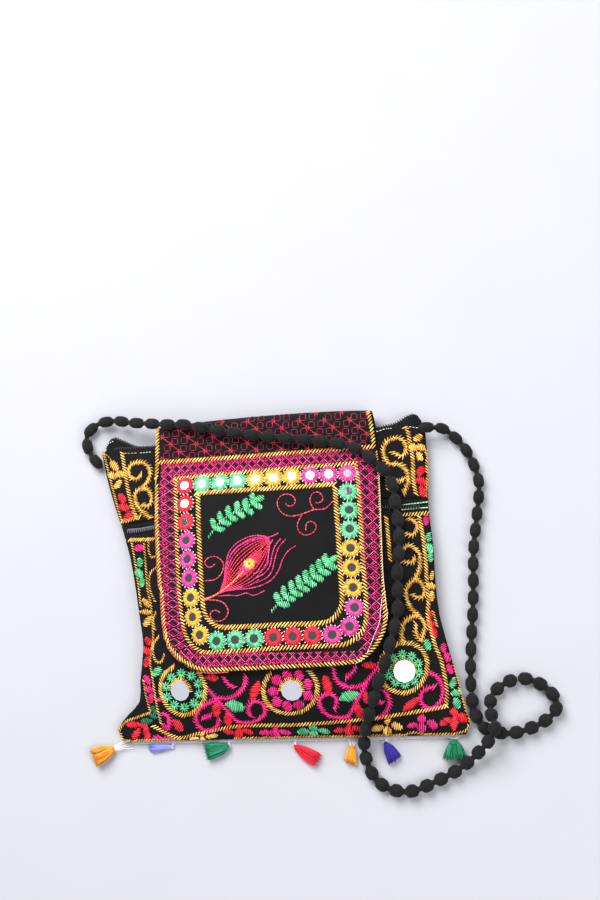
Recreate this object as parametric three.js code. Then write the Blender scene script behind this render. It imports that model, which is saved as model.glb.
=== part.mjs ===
// An embroidered cloth sling bag lying on its back, with a folded flap, two zips, sewn-on
// mirrors, tassels along the hem and a shoulder strap of cloth-covered beads.
// Millimetres, +Z up. The origin is on the flat back, in the middle; +Y runs from hem to mouth.
import * as THREE from "three";

// Cloth
const FRONT_WALL = 1.8; // embroidered cloth with its backing
const BACK_WALL = 1.6;
const FLAP_WALL = 2.0;
const TAPE_WALL = 1.0; // zip tape
const SEAM_GAP = 0.3; // between the two panels where they are sewn together
const MOUTH_GAP = 4.6; // between the two panels at the top corners, where the zip lies
const PIECE_GAP = 0.35; // between pieces that touch

// Body outline and filling, from the hem to the mouth.
// left and right: the side seams, in plan; seam: height of the side seam above the floor;
// rise: how far the front stands above the seam, at the middle of the row.
const BODY_ROWS = [
  { name: "hem", leftX: -117, leftY: -105.5, rightX: 125, rightY: -103, seam: 2.6, rise: 0 },
  { name: "ear", leftX: -121, leftY: -97.5, rightX: 128, rightY: -96, seam: 3, rise: 7 },
  { name: "ear_neck", leftX: -113, leftY: -87, rightX: 126, rightY: -88, seam: 4.5, rise: 14 },
  { name: "pinch", leftX: -105, leftY: -78.5, rightX: 124, rightY: -80, seam: 6, rise: 19 },
  { name: "low", leftX: -104.5, leftY: -64, rightX: 120.5, rightY: -65, seam: 7.5, rise: 24 },
  { name: "belly_low", leftX: -102.5, leftY: -39, rightX: 114, rightY: -40, seam: 9, rise: 28 },
  { name: "belly", leftX: -105.5, leftY: -20, rightX: 109, rightY: -19, seam: 9, rise: 29 },
  { name: "belly_high", leftX: -109, leftY: 1.5, rightX: 107, rightY: 4.5, seam: 9, rise: 28.5 },
  { name: "chest", leftX: -114, leftY: 25, rightX: 106, rightY: 29.5, seam: 8, rise: 26.5 },
  { name: "zip_low", leftX: -118, leftY: 38.5, rightX: 103.5, rightY: 49, seam: 7.5, rise: 24 },
  { name: "zip_high", leftX: -121.5, leftY: 49, rightX: 103, rightY: 62, seam: 7, rise: 22 },
  { name: "shoulder", leftX: -128.5, leftY: 68, rightX: 103, rightY: 79, seam: 6, rise: 18.5 },
  { name: "collar", leftX: -134.5, leftY: 87.5, rightX: 102.5, rightY: 98, seam: 5, rise: 15.5 },
  { name: "mouth", leftX: -138, leftY: 105, rightX: 101, rightY: 115, seam: 4, rise: 13 },
];
const CROWN_POWER = 2.4; // how flat the filled front is across its middle
const MOUTH_SAG = 2.4; // how far the middle of the front's top edge hangs below its corners
const BACK_EDGE = 0.3; // share of the half width over which the back lifts off the floor
const HEM_EDGE = 0.16; // share of the length over which the back lifts to the hem

// Main dents of the front. x, y: middle; long, wide: half lengths; turn: degrees; deep: mm.
const DENTS = [
  { name: "left_ear_crease", x: -103, y: -82, long: 13, wide: 5, turn: 24, deep: 4 },
  { name: "right_ear_crease", x: 113, y: -82, long: 18, wide: 6, turn: -32, deep: 2 },
  { name: "left_zip_tuck", x: -108, y: 42, long: 24, wide: 6, turn: 4, deep: 2 },
  { name: "right_zip_tuck", x: 90, y: 56, long: 22, wide: 6, turn: 4, deep: 2 },
];

// Flap edges, from the fold over the mouth to the free end, before its corners are rounded.
const FLAP_ROWS = [
  { name: "fold", leftX: -93.8, leftY: 120.8, rightX: 64, rightY: 127.5, lift: 0 },
  { name: "band", leftX: -92.8, leftY: 91, rightX: 68.3, rightY: 95, lift: 0.4 },
  { name: "top", leftX: -92, leftY: 62.5, rightX: 71, rightY: 64.5, lift: 0.8 },
  { name: "middle", leftX: -88.5, leftY: 22, rightX: 73, rightY: 22.5, lift: 1 },
  { name: "low", leftX: -85, leftY: -10, rightX: 75, rightY: -12, lift: 1 },
  { name: "corner", leftX: -82.5, leftY: -34, rightX: 76.2, rightY: -30, lift: 1.2 },
  { name: "end", leftX: -80, leftY: -62, rightX: 76.8, rightY: -57.5, lift: 1.8 },
];
const FLAP_CORNER = 32; // radius of the free corners
const FLAP_GAP = 1.2; // between the flap and the front
const FLAP_CURL = { side: 3.5, width: 0.1 }; // the right-hand edge curls up
const FOLD_DEPTH = 9; // how far the fold stands past the line where it starts to turn
const FOLD_BOW = 2; // how far the middle of the fold stands past its ends

// Zips
const MOUTH_TAPE_LAP = 6; // width sewn inside the panel
// rise: how far each tape stands past the mouth, at a share of the way across
const FRONT_TAPE = [
  { across: 0, rise: 2 },
  { across: 0.05, rise: 3 },
  { across: 0.14, rise: 1.5 },
  { across: 0.5, rise: 1.5 },
  { across: 0.86, rise: 2.2 },
  { across: 0.9, rise: 3.2 },
  { across: 0.928, rise: 5.4 },
  { across: 0.95, rise: 9.6 },
  { across: 0.972, rise: 12 },
  { across: 0.986, rise: 10.4 },
  { across: 1, rise: 2 },
];
const BACK_TAPE = [
  { across: 0, rise: 3 },
  { across: 0.033, rise: 13.4 },
  { across: 0.043, rise: 13 },
  { across: 0.12, rise: 1.2 },
  { across: 0.5, rise: 1.5 },
  { across: 1, rise: 1.5 },
];
const TAPE_ENDS = { left: 0.008, right: 0.995 }; // shares of the way across
const TAPE_COLUMNS = 36;
const ZIP_COIL = { width: 4.4, height: 1.3 };

// Mirrors
const SMALL_MIRROR = { radius: 3.9, thick: 1 };
const LARGE_MIRROR = { radius: 7.5, thick: 1.2 };
const MIRROR_INSET = { left: 24.2, corner: 22.6, right: 22, end: 21, fold: 48.6 }; // from the flap's edges
const MIRROR_CORNER = 16; // radius of the row at the free corners
const MIRROR_STEPS = { fold: 9, round: 24 }; // along the fold, and round the other three sides
const LARGE_MIRRORS = [
  { name: "left", x: -71.7, y: -71.5 },
  { name: "centre", x: 8.8, y: -73 },
  { name: "right", x: 85.4, y: -61 },
];
const MIRROR_SIDES = 12;

// Tassels. x, y: the knot at the hem; heading: degrees from +X; length and width of the skirt.
const TASSELS = [
  { name: "orange_left", x: -124, y: -110.5, heading: 205, length: 17, width: 13 },
  { name: "lavender", x: -81, y: -109.5, heading: 183, length: 17.5, width: 5 },
  { name: "green_left", x: -40.5, y: -110, heading: 194, length: 17.5, width: 11.5 },
  { name: "red", x: 5.4, y: -109.6, heading: -31, length: 20, width: 9.5 },
  { name: "orange_right", x: 46.5, y: -109.2, heading: -100, length: 13, width: 8 },
  { name: "violet", x: 69.3, y: -107.8, heading: -61, length: 14.5, width: 9.5 },
  { name: "green_right", x: 117, y: -106.2, heading: -88, length: 14, width: 15 },
];
const TASSEL_FLATTEN = 0.55; // a lying tassel is this much as high as it is wide
const BRAID = { radius: 0.7, fromHem: 1.3, start: 0.02, end: 0.98 };

// Strap. The thread that the beads are sewn along, from the left top corner to the right one.
// Columns: x, y, z.
const STRAP_ROUTE = [
  [-139, 94, 4.6],
  [-142.8, 98.2, 4.5],
  [-149.5, 107.7, 4.5],
  [-151, 119.4, 4.5],
  [-143.3, 126.9, 5.2],
  [-129.4, 128.5, 8.5],
  [-115.7, 125.5, 13],
  [-99.5, 122.8, 18],
  [-85.7, 120.4, 23],
  [-70.7, 118.5, 27.6],
  [-58.7, 115.5, 29.3],
  [-44.1, 112.3, 30],
  [-19.8, 108, 30],
  [7, 104.2, 30],
  [31.5, 101.5, 29],
  [54, 95.7, 27.6],
  [64, 88.6, 27.7],
  [74, 79.5, 25.8],
  [79.3, 69.6, 23.6],
  [81, 58, 23.6],
  [83.8, 31.7, 26],
  [82.5, 7, 29],
  [82.4, -18.8, 30.8],
  [80.2, -30, 32],
  [77.6, -40.8, 33.2],
  [74.6, -53, 33.4],
  [70.1, -64.8, 32.6],
  [66.6, -75.3, 30.8],
  [62, -87, 24.7],
  [57.6, -98.5, 15.4],
  [55.6, -107.5, 8.4],
  [55.6, -116, 4.8],
  [61, -130, 4.5],
  [70, -138.3, 4.5],
  [86, -141, 4.5],
  [103, -135, 4.5],
  [121, -125.6, 5],
  [134.8, -114.3, 9],
  [142, -106.5, 13.2],
  [145.5, -98.5, 13.6],
  [142.5, -87, 8.5],
  [144.5, -76, 4.6],
  [157, -67, 4.5],
  [170, -66.5, 4.5],
  [184, -75.5, 4.5],
  [187.3, -85, 4.5],
  [180, -93.8, 4.5],
  [160, -102, 4.5],
  [147.2, -102, 4.5],
  [138.6, -99.2, 4.5],
  [133.6, -92.7, 4.5],
  [131, -85.4, 4.5],
  [129.5, -67.8, 4.5],
  [130.2, -46.3, 4.5],
  [132.8, -9.7, 4.5],
  [134.1, 25.6, 4.5],
  [137.2, 50.5, 4.5],
  [138.8, 75.1, 4.5],
  [130.7, 96.8, 4.5],
  [122.4, 107, 4.6],
  [114.5, 112.6, 7.2],
  [109, 112.9, 10],
  [103.7, 112.6, 12.8],
  [97.7, 112.8, 13],
];
const BEAD_SIDES = 8;
// Half width of the strap along one bead, as shares of the pitch.
const BEAD_PROFILE = [
  { share: 0, radius: 2.1 },
  { share: 0.22, radius: 3.85 },
  { share: 0.5, radius: 4.25 },
  { share: 0.78, radius: 3.85 },
];
// Stretches of the strap, each one solid: how many beads it holds, and how far apart they lie
// against those over the flap.
const STRAP_STRETCHES = [
  { name: "strap_left", beads: 10, spacing: 1.09 },
  { name: "strap_over_flap", beads: 11, spacing: 1 },
  { name: "strap_down_front", beads: 15, spacing: 1.015 },
  { name: "strap_floor", beads: 11, spacing: 0.85 },
  { name: "strap_loop_over", beads: 6, spacing: 0.82 },
  { name: "strap_loop_under", beads: 11, spacing: 0.85 },
  { name: "strap_right", beads: 18, spacing: 0.95 },
];

const BLACK_CLOTH = { colour: 0x1b1a1c, roughness: 0.85, metalness: 0 };
const BLACK_TAPE = { colour: 0x222329, roughness: 0.6, metalness: 0 };
const MIRROR_GLASS = { colour: 0xdfe3ea, roughness: 0.06, metalness: 1 };
const WHITE_THREAD = { colour: 0xe9e7ea, roughness: 0.75, metalness: 0 };
const TASSEL_THREAD = { roughness: 0.7, metalness: 0 };
const TASSEL_COLOURS = {
  orange_left: 0xd98518,
  lavender: 0x7a7fc4,
  green_left: 0x1d7a52,
  red: 0xc81f33,
  orange_right: 0xd98518,
  violet: 0x2f2480,
  green_right: 0x1d7048,
};

const bag = new THREE.Group();
const up = new THREE.Vector3(0, 0, 1);

function add(name, geometry, look) {
  const { colour, roughness, metalness } = look;
  const material = new THREE.MeshStandardMaterial({ color: colour, roughness, metalness });
  const mesh = new THREE.Mesh(geometry, material);
  mesh.name = name;
  bag.add(mesh);
  return mesh;
}

const through = (rows, point) =>
  new THREE.CatmullRomCurve3(rows.map(point), false, "centripetal");

// A curve through rows, carried on in a straight line past its last row.
function along(curve, t) {
  if (t <= 1) return curve.getPoint(Math.max(t, 0));
  const last = curve.getPoint(1);
  const step = last.clone().sub(curve.getPoint(0.98)).multiplyScalar((t - 1) / 0.02);
  step.z = 0;
  return last.add(step);
}

const leftSeam = through(BODY_ROWS, (r) => new THREE.Vector3(r.leftX, r.leftY, r.seam));
const rightSeam = through(BODY_ROWS, (r) => new THREE.Vector3(r.rightX, r.rightY, r.seam));
const riseCurve = through(BODY_ROWS, (r, i) => new THREE.Vector3(r.rise, i, 0));
const rowAt = (name) => BODY_ROWS.findIndex((r) => r.name === name) / (BODY_ROWS.length - 1);

function dentDepth(x, y) {
  let depth = 0;
  for (const d of DENTS) {
    const a = THREE.MathUtils.degToRad(d.turn);
    const far = ((x - d.x) * Math.cos(a) + (y - d.y) * Math.sin(a)) / d.long;
    const aside = ((y - d.y) * Math.cos(a) - (x - d.x) * Math.sin(a)) / d.wide;
    depth += d.deep * Math.exp(-far * far - aside * aside);
  }
  return depth;
}

// The side seams open a little as they come to the mouth.
const nearMouth = (v) => THREE.MathUtils.smoothstep(v, 0.9, 1);
const seamGap = (v) => SEAM_GAP + (MOUTH_GAP - SEAM_GAP) * nearMouth(v);

const crown = (u) => 1 - Math.abs(2 * u - 1) ** CROWN_POWER;

// Outer skin of the front, at a share across and a share along.
function front(u, v) {
  const p = along(leftSeam, v).lerp(along(rightSeam, v), u);
  const rise = riseCurve.getPoint(THREE.MathUtils.clamp(v, 0, 1)).x;
  const lift = Math.max(rise * crown(u) - dentDepth(p.x, p.y) * Math.min(1, rise / 10), 0);
  p.z += seamGap(v) / 2 + FRONT_WALL + lift;
  p.y -= MOUTH_SAG * crown(u) * nearMouth(v);
  return p;
}

// Outer skin of the back: flat on the floor, lifting to the seam at the sides and the hem.
function back(u, v) {
  const p = along(leftSeam, v).lerp(along(rightSeam, v), u);
  const side = Math.max(0, (Math.abs(2 * u - 1) - 1 + BACK_EDGE) / BACK_EDGE) ** 2;
  const hem = Math.max(0, (HEM_EDGE - v) / HEM_EDGE) ** 2;
  const share = 1 - (1 - side) * (1 - hem);
  p.z = (p.z - seamGap(v) / 2 - BACK_WALL) * share;
  return p;
}

// Share across and along of the front that lies over a point in plan.
function overPlan(x, y) {
  let low = 0;
  let high = 1.1;
  for (let i = 0; i < 40; i++) {
    const v = (low + high) / 2;
    const l = along(leftSeam, v);
    const r = along(rightSeam, v);
    const aboveRow = (r.x - l.x) * (y - l.y) - (r.y - l.y) * (x - l.x) > 0;
    if (aboveRow) low = v;
    else high = v;
  }
  const l = along(leftSeam, low);
  const r = along(rightSeam, low);
  return { u: (x - l.x) / (r.x - l.x), v: low };
}

function frontHeight(x, y) {
  const { u, v } = overPlan(x, y);
  return front(THREE.MathUtils.clamp(u, 0, 1), v).z;
}

function outwards(surface, u, v) {
  const h = 1e-3;
  const across = surface(u + h, v).sub(surface(u - h, v));
  const lengthways = surface(u, v + h).sub(surface(u, v - h));
  return across.cross(lengthways).normalize();
}

// A closed wall: the surface is its outer skin, and the inner skin lies thickness inside it.
function clothWall(surface, thickness, across, lengthways) {
  const positions = [];
  const index = [];
  const perSkin = (across + 1) * (lengthways + 1);
  const at = (i, j, skin) => skin * perSkin + j * (across + 1) + i;
  for (const skin of [0, 1])
    for (let j = 0; j <= lengthways; j++)
      for (let i = 0; i <= across; i++) {
        const u = i / across;
        const v = j / lengthways;
        const p = surface(u, v);
        if (skin) p.addScaledVector(outwards(surface, u, v), -thickness);
        positions.push(p.x, p.y, p.z);
      }
  const quad = (a, b, c, d) => index.push(a, b, c, a, c, d);
  for (let j = 0; j < lengthways; j++)
    for (let i = 0; i < across; i++) {
      quad(at(i, j, 0), at(i + 1, j, 0), at(i + 1, j + 1, 0), at(i, j + 1, 0));
      quad(at(i, j, 1), at(i, j + 1, 1), at(i + 1, j + 1, 1), at(i + 1, j, 1));
    }
  for (let i = 0; i < across; i++) {
    quad(at(i, 0, 1), at(i + 1, 0, 1), at(i + 1, 0, 0), at(i, 0, 0));
    const end = lengthways;
    quad(at(i, end, 0), at(i + 1, end, 0), at(i + 1, end, 1), at(i, end, 1));
  }
  for (let j = 0; j < lengthways; j++) {
    quad(at(0, j, 0), at(0, j + 1, 0), at(0, j + 1, 1), at(0, j, 1));
    quad(at(across, j, 1), at(across, j + 1, 1), at(across, j + 1, 0), at(across, j, 0));
  }
  const geometry = new THREE.BufferGeometry();
  geometry.setAttribute("position", new THREE.Float32BufferAttribute(positions, 3));
  geometry.setIndex(index);
  return geometry;
}

// A stretch of the front between two shares along.
const stretch = (surface, from, to) => (u, v) => surface(u, from + (to - from) * v);

// Body panels
const zipLow = rowAt("zip_low");
const zipHigh = rowAt("zip_high");
const gapAlong = 0.002; // share of the length that parts neighbouring pieces
add("back_panel", clothWall((u, v) => back(1 - u, v), BACK_WALL, 22, 20), BLACK_CLOTH);
add("front_lower", clothWall(stretch(front, 0, zipLow - gapAlong), FRONT_WALL, 24, 18), BLACK_CLOTH);
add("front_upper", clothWall(stretch(front, zipHigh + gapAlong, 1), FRONT_WALL, 22, 6), BLACK_CLOTH);

// Front zip: a tape set a little below the cloth, with its coil along the middle
function sunk(u, v) {
  const p = front(u, v);
  p.z -= FRONT_WALL - TAPE_WALL;
  return p;
}
add("front_zip_tape", clothWall(stretch(sunk, zipLow, zipHigh), TAPE_WALL, 22, 2), BLACK_TAPE);

function frontZipCoil() {
  const middle = (zipLow + zipHigh) / 2;
  const rowLength = along(leftSeam, zipHigh).distanceTo(along(leftSeam, zipLow));
  const half = (ZIP_COIL.width / 2 / rowLength) * (zipHigh - zipLow);
  const standing = 1.4 * PIECE_GAP + ZIP_COIL.height;
  const raised = (u, v) => sunk(u, v).addScaledVector(outwards(sunk, u, v), standing);
  return clothWall(stretch(raised, middle - half, middle + half), ZIP_COIL.height, 22, 1);
}
add("front_zip_coil", frontZipCoil(), BLACK_TAPE);

// Mouth zip: one tape inside each panel's top edge
function riseAt(table, across) {
  const k = table.findIndex((row) => row.across >= across);
  const b = table[Math.max(k, 1)];
  const a = table[Math.max(k, 1) - 1];
  return THREE.MathUtils.mapLinear(across, a.across, b.across, a.rise, b.rise);
}
const mouthLength = 20; // length of the last row of the body, in plan
const shareOf = (mm) => mm / mouthLength / (BODY_ROWS.length - 1);

// Columns lie closer together at the two ends, where the tapes arch.
function mouthTape(surface, table, inset) {
  const { left, right } = TAPE_ENDS;
  return (u, v) => {
    const share = left + (right - left) * (u - 0.1 * Math.sin(2 * Math.PI * u));
    const start = 1 - shareOf(MOUTH_TAPE_LAP);
    const end = 1 + shareOf(riseAt(table, share));
    const p = surface(share, start + (end - start) * v);
    p.z += inset;
    return p;
  };
}
const frontInset = -(FRONT_WALL + 3 * PIECE_GAP);
add(
  "mouth_zip_front",
  clothWall(mouthTape(front, FRONT_TAPE, frontInset), TAPE_WALL, TAPE_COLUMNS, 2),
  BLACK_TAPE,
);
const backInset = FLAP_WALL + PIECE_GAP + TAPE_WALL;
add(
  "mouth_zip_back",
  clothWall(mouthTape(back, BACK_TAPE, backInset), TAPE_WALL, TAPE_COLUMNS, 2),
  BLACK_TAPE,
);

// Flap
const flapLeft = through(FLAP_ROWS, (r) => new THREE.Vector3(r.leftX, r.leftY, r.lift));
const flapRight = through(FLAP_ROWS, (r) => new THREE.Vector3(r.rightX, r.rightY, r.lift));
const flapLength = flapLeft.getLength();

// Outer skin of the flap over the front, at a share across and a share down from the fold.
function flapFront(a, t) {
  const p = flapLeft.getPointAt(t).lerp(flapRight.getPointAt(t), a);
  const curl = FLAP_CURL.side * Math.exp(-((1 - a) / FLAP_CURL.width)) * t;
  p.z += frontHeight(p.x, p.y) + FLAP_WALL + FLAP_GAP + curl;
  return p;
}

// Where the fold starts to turn: the flap's own height there, and a line on the floor below.
const turnStart = FOLD_DEPTH / flapLength;
function foldPoint(a, angle) {
  const top = flapFront(a, turnStart);
  const tip = flapLeft.getPointAt(0).lerp(flapRight.getPointAt(0), a);
  tip.y += FOLD_BOW * crown(a);
  const half = top.z / 2;
  const reach = tip.sub(top).setZ(0);
  return new THREE.Vector3(top.x, top.y, half)
    .addScaledVector(reach, Math.cos(angle))
    .addScaledVector(up, half * Math.sin(angle));
}

// The whole flap: v runs from the free end up the front, round the fold and down to the root.
const FRONT_SHARE = 0.78;
const FOLD_SHARE = 0.17;
const ROOT_LENGTH = 2.2;
function flapSkin(u, v) {
  if (v <= FRONT_SHARE) {
    const t = 1 - (v / FRONT_SHARE) * (1 - turnStart);
    const toEnd = (1 - t) * flapLength;
    const round = Math.max(0, 1 - toEnd / FLAP_CORNER);
    const inset = FLAP_CORNER * (1 - Math.sqrt(Math.max(0, 1 - round * round)));
    const width = flapLeft.getPointAt(t).distanceTo(flapRight.getPointAt(t));
    return flapFront(inset / width + u * (1 - (2 * inset) / width), t);
  }
  const turned = Math.min((v - FRONT_SHARE) / FOLD_SHARE, 1);
  const p = foldPoint(u, Math.PI * (0.5 - turned));
  const rest = (v - FRONT_SHARE - FOLD_SHARE) / (1 - FRONT_SHARE - FOLD_SHARE);
  if (rest > 0) p.y -= rest * ROOT_LENGTH;
  return p;
}

// Rows are closer together at the round corners and in the fold.
function flapRows(v) {
  const bend = 0.14;
  return v < bend ? bend * (1 - Math.cos((v / bend) * Math.PI * 0.5)) : v;
}
add("flap", clothWall((u, v) => flapSkin(u, flapRows(v)), FLAP_WALL, 16, 32), BLACK_CLOTH);

// Mirrors
function disc(name, size, point, normal) {
  const geometry = new THREE.CylinderGeometry(size.radius, size.radius, size.thick, MIRROR_SIDES);
  geometry.rotateX(Math.PI / 2);
  const mesh = add(name, geometry, MIRROR_GLASS);
  mesh.quaternion.setFromUnitVectors(up, normal);
  mesh.position.copy(point).addScaledVector(normal, PIECE_GAP + size.thick / 2);
}

// The closed row that the small mirrors follow, as a plan in millimetres across and down the flap.
function mirrorSpots(width) {
  const { left, corner, fold } = MIRROR_INSET;
  const right = width - MIRROR_INSET.right;
  const low = flapLength - MIRROR_INSET.end;
  const r = MIRROR_CORNER;
  const top = new THREE.Path();
  top.moveTo(corner, fold);
  top.lineTo(right, fold);
  const rest = new THREE.Path();
  rest.moveTo(right, fold);
  rest.lineTo(right, low - r);
  rest.absarc(right - r, low - r, r, 0, Math.PI / 2, false);
  rest.lineTo(left + r, low);
  rest.absarc(left + r, low - r, r, Math.PI / 2, Math.PI, false);
  rest.lineTo(corner, fold);
  const spots = (run, steps) => Array.from({ length: steps }, (_, k) => run.getPointAt(k / steps));
  return [...spots(top, MIRROR_STEPS.fold), ...spots(rest, MIRROR_STEPS.round)];
}

const flapWidth = flapLeft.getPointAt(0.5).distanceTo(flapRight.getPointAt(0.5));
mirrorSpots(flapWidth).forEach((spot, k) => {
  const a = spot.x / flapWidth;
  const t = spot.y / flapLength;
  const normal = outwards((u, v) => flapFront(u, 1 - v), a, 1 - t);
  disc(`mirror_small_${String(k + 1).padStart(2, "0")}`, SMALL_MIRROR, flapFront(a, t), normal);
});
for (const m of LARGE_MIRRORS) {
  const { u, v } = overPlan(m.x, m.y);
  disc(`mirror_large_${m.name}`, LARGE_MIRROR, front(u, v), outwards(front, u, v));
}

// Tassels and the white braid that carries them under the hem
function tassel(t) {
  const half = t.width / 2;
  const profile = [
    [0, 0],
    [1.1, 0],
    [half * 0.3, t.length * 0.14],
    [half * 0.5, t.length * 0.28],
    [half * 0.8, t.length * 0.5],
    [half, t.length * 0.85],
    [half * 0.7, t.length],
    [0, t.length],
  ].map(([r, y]) => new THREE.Vector2(r, y));
  const geometry = new THREE.LatheGeometry(profile, 10);
  geometry.rotateZ(-Math.PI / 2);
  geometry.scale(1, 1, TASSEL_FLATTEN);
  const look = { ...TASSEL_THREAD, colour: TASSEL_COLOURS[t.name] };
  const mesh = add(`tassel_${t.name}`, geometry, look);
  mesh.rotation.z = THREE.MathUtils.degToRad(t.heading);
  mesh.position.set(t.x, t.y, half * TASSEL_FLATTEN);
}
TASSELS.forEach(tassel);

function braid() {
  const ends = [BRAID.start, BRAID.end].map((u) => {
    const p = front(u, 0);
    return new THREE.Vector3(p.x, p.y - BRAID.fromHem, BRAID.radius);
  });
  const round = new THREE.Shape().absarc(0, 0, BRAID.radius, 0, 2 * Math.PI);
  return new THREE.ExtrudeGeometry(round, {
    extrudePath: new THREE.LineCurve3(ends[0], ends[1]),
    steps: 1,
    curveSegments: 3,
  });
}
add("tassel_braid", braid(), WHITE_THREAD);

// Strap
const thread = new THREE.CatmullRomCurve3(
  STRAP_ROUTE.map(([x, y, z]) => new THREE.Vector3(x, y, z)),
  false,
  "centripetal",
);
thread.arcLengthDivisions = 2000;
const threadLength = thread.getLength();
const spacingSum = STRAP_STRETCHES.reduce((sum, s) => sum + s.beads * s.spacing, 0);

// A closed solid round the thread, from one neck between beads to another.
function beadString(start, pitch, count) {
  const stations = [];
  for (let k = 0; k < count; k++)
    for (const ring of BEAD_PROFILE)
      stations.push({ at: start + (k + ring.share) * pitch, radius: ring.radius });
  stations.push({ at: start + count * pitch, radius: BEAD_PROFILE[0].radius });
  stations[0].at += PIECE_GAP / 2;
  stations.at(-1).at -= PIECE_GAP / 2;
  const positions = [];
  const index = [];
  for (const { at, radius } of stations) {
    const share = at / threadLength;
    const centre = thread.getPointAt(share);
    const ahead = thread.getTangentAt(share);
    const side = ahead.clone().cross(up).normalize();
    const above = side.clone().cross(ahead);
    for (let i = 0; i < BEAD_SIDES; i++) {
      const turn = (2 * Math.PI * i) / BEAD_SIDES;
      const p = centre
        .clone()
        .addScaledVector(side, radius * Math.cos(turn))
        .addScaledVector(above, radius * Math.sin(turn));
      positions.push(p.x, p.y, p.z);
    }
  }
  const last = (stations.length - 1) * BEAD_SIDES;
  for (let i = 0; i < BEAD_SIDES; i++) {
    const j = (i + 1) % BEAD_SIDES;
    for (let k = 0; k < last; k += BEAD_SIDES)
      index.push(k + i, k + BEAD_SIDES + i, k + BEAD_SIDES + j, k + i, k + BEAD_SIDES + j, k + j);
    if (i > 1) {
      index.push(0, i - 1, i);
      index.push(last, last + i, last + i - 1);
    }
  }
  const geometry = new THREE.BufferGeometry();
  geometry.setAttribute("position", new THREE.Float32BufferAttribute(positions, 3));
  geometry.setIndex(index);
  return geometry;
}

let reached = 0;
for (const { name, beads, spacing } of STRAP_STRETCHES) {
  const pitch = (spacing * threadLength) / spacingSum;
  add(name, beadString(reached, pitch, beads), BLACK_CLOTH);
  reached += beads * pitch;
}

export default bag;
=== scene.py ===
"""Looks of an embroidered cloth sling bag with a beaded strap, built around its CAD model.

Sizes are millimetres unless a name ends in PX, which are pixels of the 600 x 900 photograph,
or in DEG. Needlework is modelled as thread: each stitch is a small tube laid on the cloth at the
place where the photograph shows it, found by casting its pixels from the camera onto that cloth.
"""
import math

import bmesh
import bpy
import numpy as np
from mathutils import Matrix, Vector, noise
from mathutils.bvhtree import BVHTree


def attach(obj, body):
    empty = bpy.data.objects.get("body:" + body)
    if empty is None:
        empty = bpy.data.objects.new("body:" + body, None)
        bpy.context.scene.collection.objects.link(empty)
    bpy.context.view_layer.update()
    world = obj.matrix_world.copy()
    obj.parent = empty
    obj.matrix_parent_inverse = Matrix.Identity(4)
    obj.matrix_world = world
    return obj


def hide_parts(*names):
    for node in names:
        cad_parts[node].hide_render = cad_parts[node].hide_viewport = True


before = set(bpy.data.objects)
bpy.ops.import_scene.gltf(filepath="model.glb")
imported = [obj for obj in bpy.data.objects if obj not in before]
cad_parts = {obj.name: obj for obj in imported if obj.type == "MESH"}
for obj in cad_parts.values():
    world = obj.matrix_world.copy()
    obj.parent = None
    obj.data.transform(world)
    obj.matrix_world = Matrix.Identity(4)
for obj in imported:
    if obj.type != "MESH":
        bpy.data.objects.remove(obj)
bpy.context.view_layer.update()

METRES = 0.001
UP = np.array((0, 0, 1))
RNG = np.random.default_rng(7)

# Camera, in the photograph's frame. The bag's origin shows at AIM_PX, at MM_PER_PX there.
IMAGE_PX = (600, 900)
FOCAL_PX = 1500
AIM_PX = (287, 590)
MM_PER_PX = 0.72
YAW_DEG = 10
PITCH_DEG = 8
SENSOR = 36

# Cloth
WELD = 0.0005
FLAT_DEG, SQUARE_DEG = 50, 70  # triangles that differ less than this become one face
FINER_CUTS = 3
SMOOTHINGS = 4
SMOOTH_IN, SMOOTH_OUT = 0.5, -0.53  # each smoothing is followed by a swelling, so nothing shrinks
CREASES = ((46, 0.7), (17, 0.28))  # wavelength and height of soft creases
CREASE_START = 6  # height above the floor where creases begin
CREASE_FULL = 16

# Stitches. pitch: from one to the next; width: across the line; slant: degrees from the line
EDGE_ROPE = dict(pitch=2.5, width=3.1, slant=-46, gauge=1.1)
EDGE_SLIVER = dict(pitch=2.0, width=1.5, slant=-50, gauge=0.85)
MIDDLE_ROPE = dict(pitch=2.4, width=3.5, slant=50, gauge=1.1)
PANEL_ROPE = dict(pitch=2.35, width=3.8, slant=48, gauge=1.12)
BODY_ROPE = dict(pitch=2.2, width=3.3, slant=48, gauge=1.0)
ROSETTE_ROPE = dict(pitch=1.9, width=3.7, slant=52, gauge=0.92, uneven=0.35)
FINE_ROPE = dict(pitch=2.05, width=2.2, slant=45, gauge=0.88)
SCROLL = dict(pitch=2.1, width=4.2, slant=48, gauge=0.9, uneven=0.5)
SCROLL_CORE = dict(pitch=2.4, gauge=1.5, sink=0.2)
RUN = dict(pitch=2.1, gauge=0.75)
LINING = dict(pitch=2.6, gauge=0.9, aside=-2.3, sink=0.7)
LINED = slice(2, 11)  # the part of the flap's edge where its lining shows
ZIP_LINE = dict(pitch=2.1, gauge=1.1)
FINE_RUN = dict(pitch=1.9, gauge=0.55)
TACK = dict(pitch=2.7, gauge=0.5, fill=0.66)
CHAIN = dict(pitch=2.7, gauge=1.15)
UNEVEN = 0.16  # how much the lengths of slanting stitches differ
SATIN_UNEVEN = 0.4  # the same for a petal's stitches
RING_UNEVEN = dict(turn=0.3, reach=0.06)  # shares of the step between stitches and of the outer radius
SATIN_PITCH = 1.3
SATIN_THREAD = 1.15
SATIN_LEAN = 18  # degrees from straight across
PETAL_ROUNDNESS = 0.6
PETAL_LEAST = 4  # stitches
STAR_HUB = 0.15  # share of a star's ray that its hole takes up
PETAL_GROWTH = dict(long=1.06, wide=1.28)  # satin swells past the outline that it is drawn to
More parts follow.
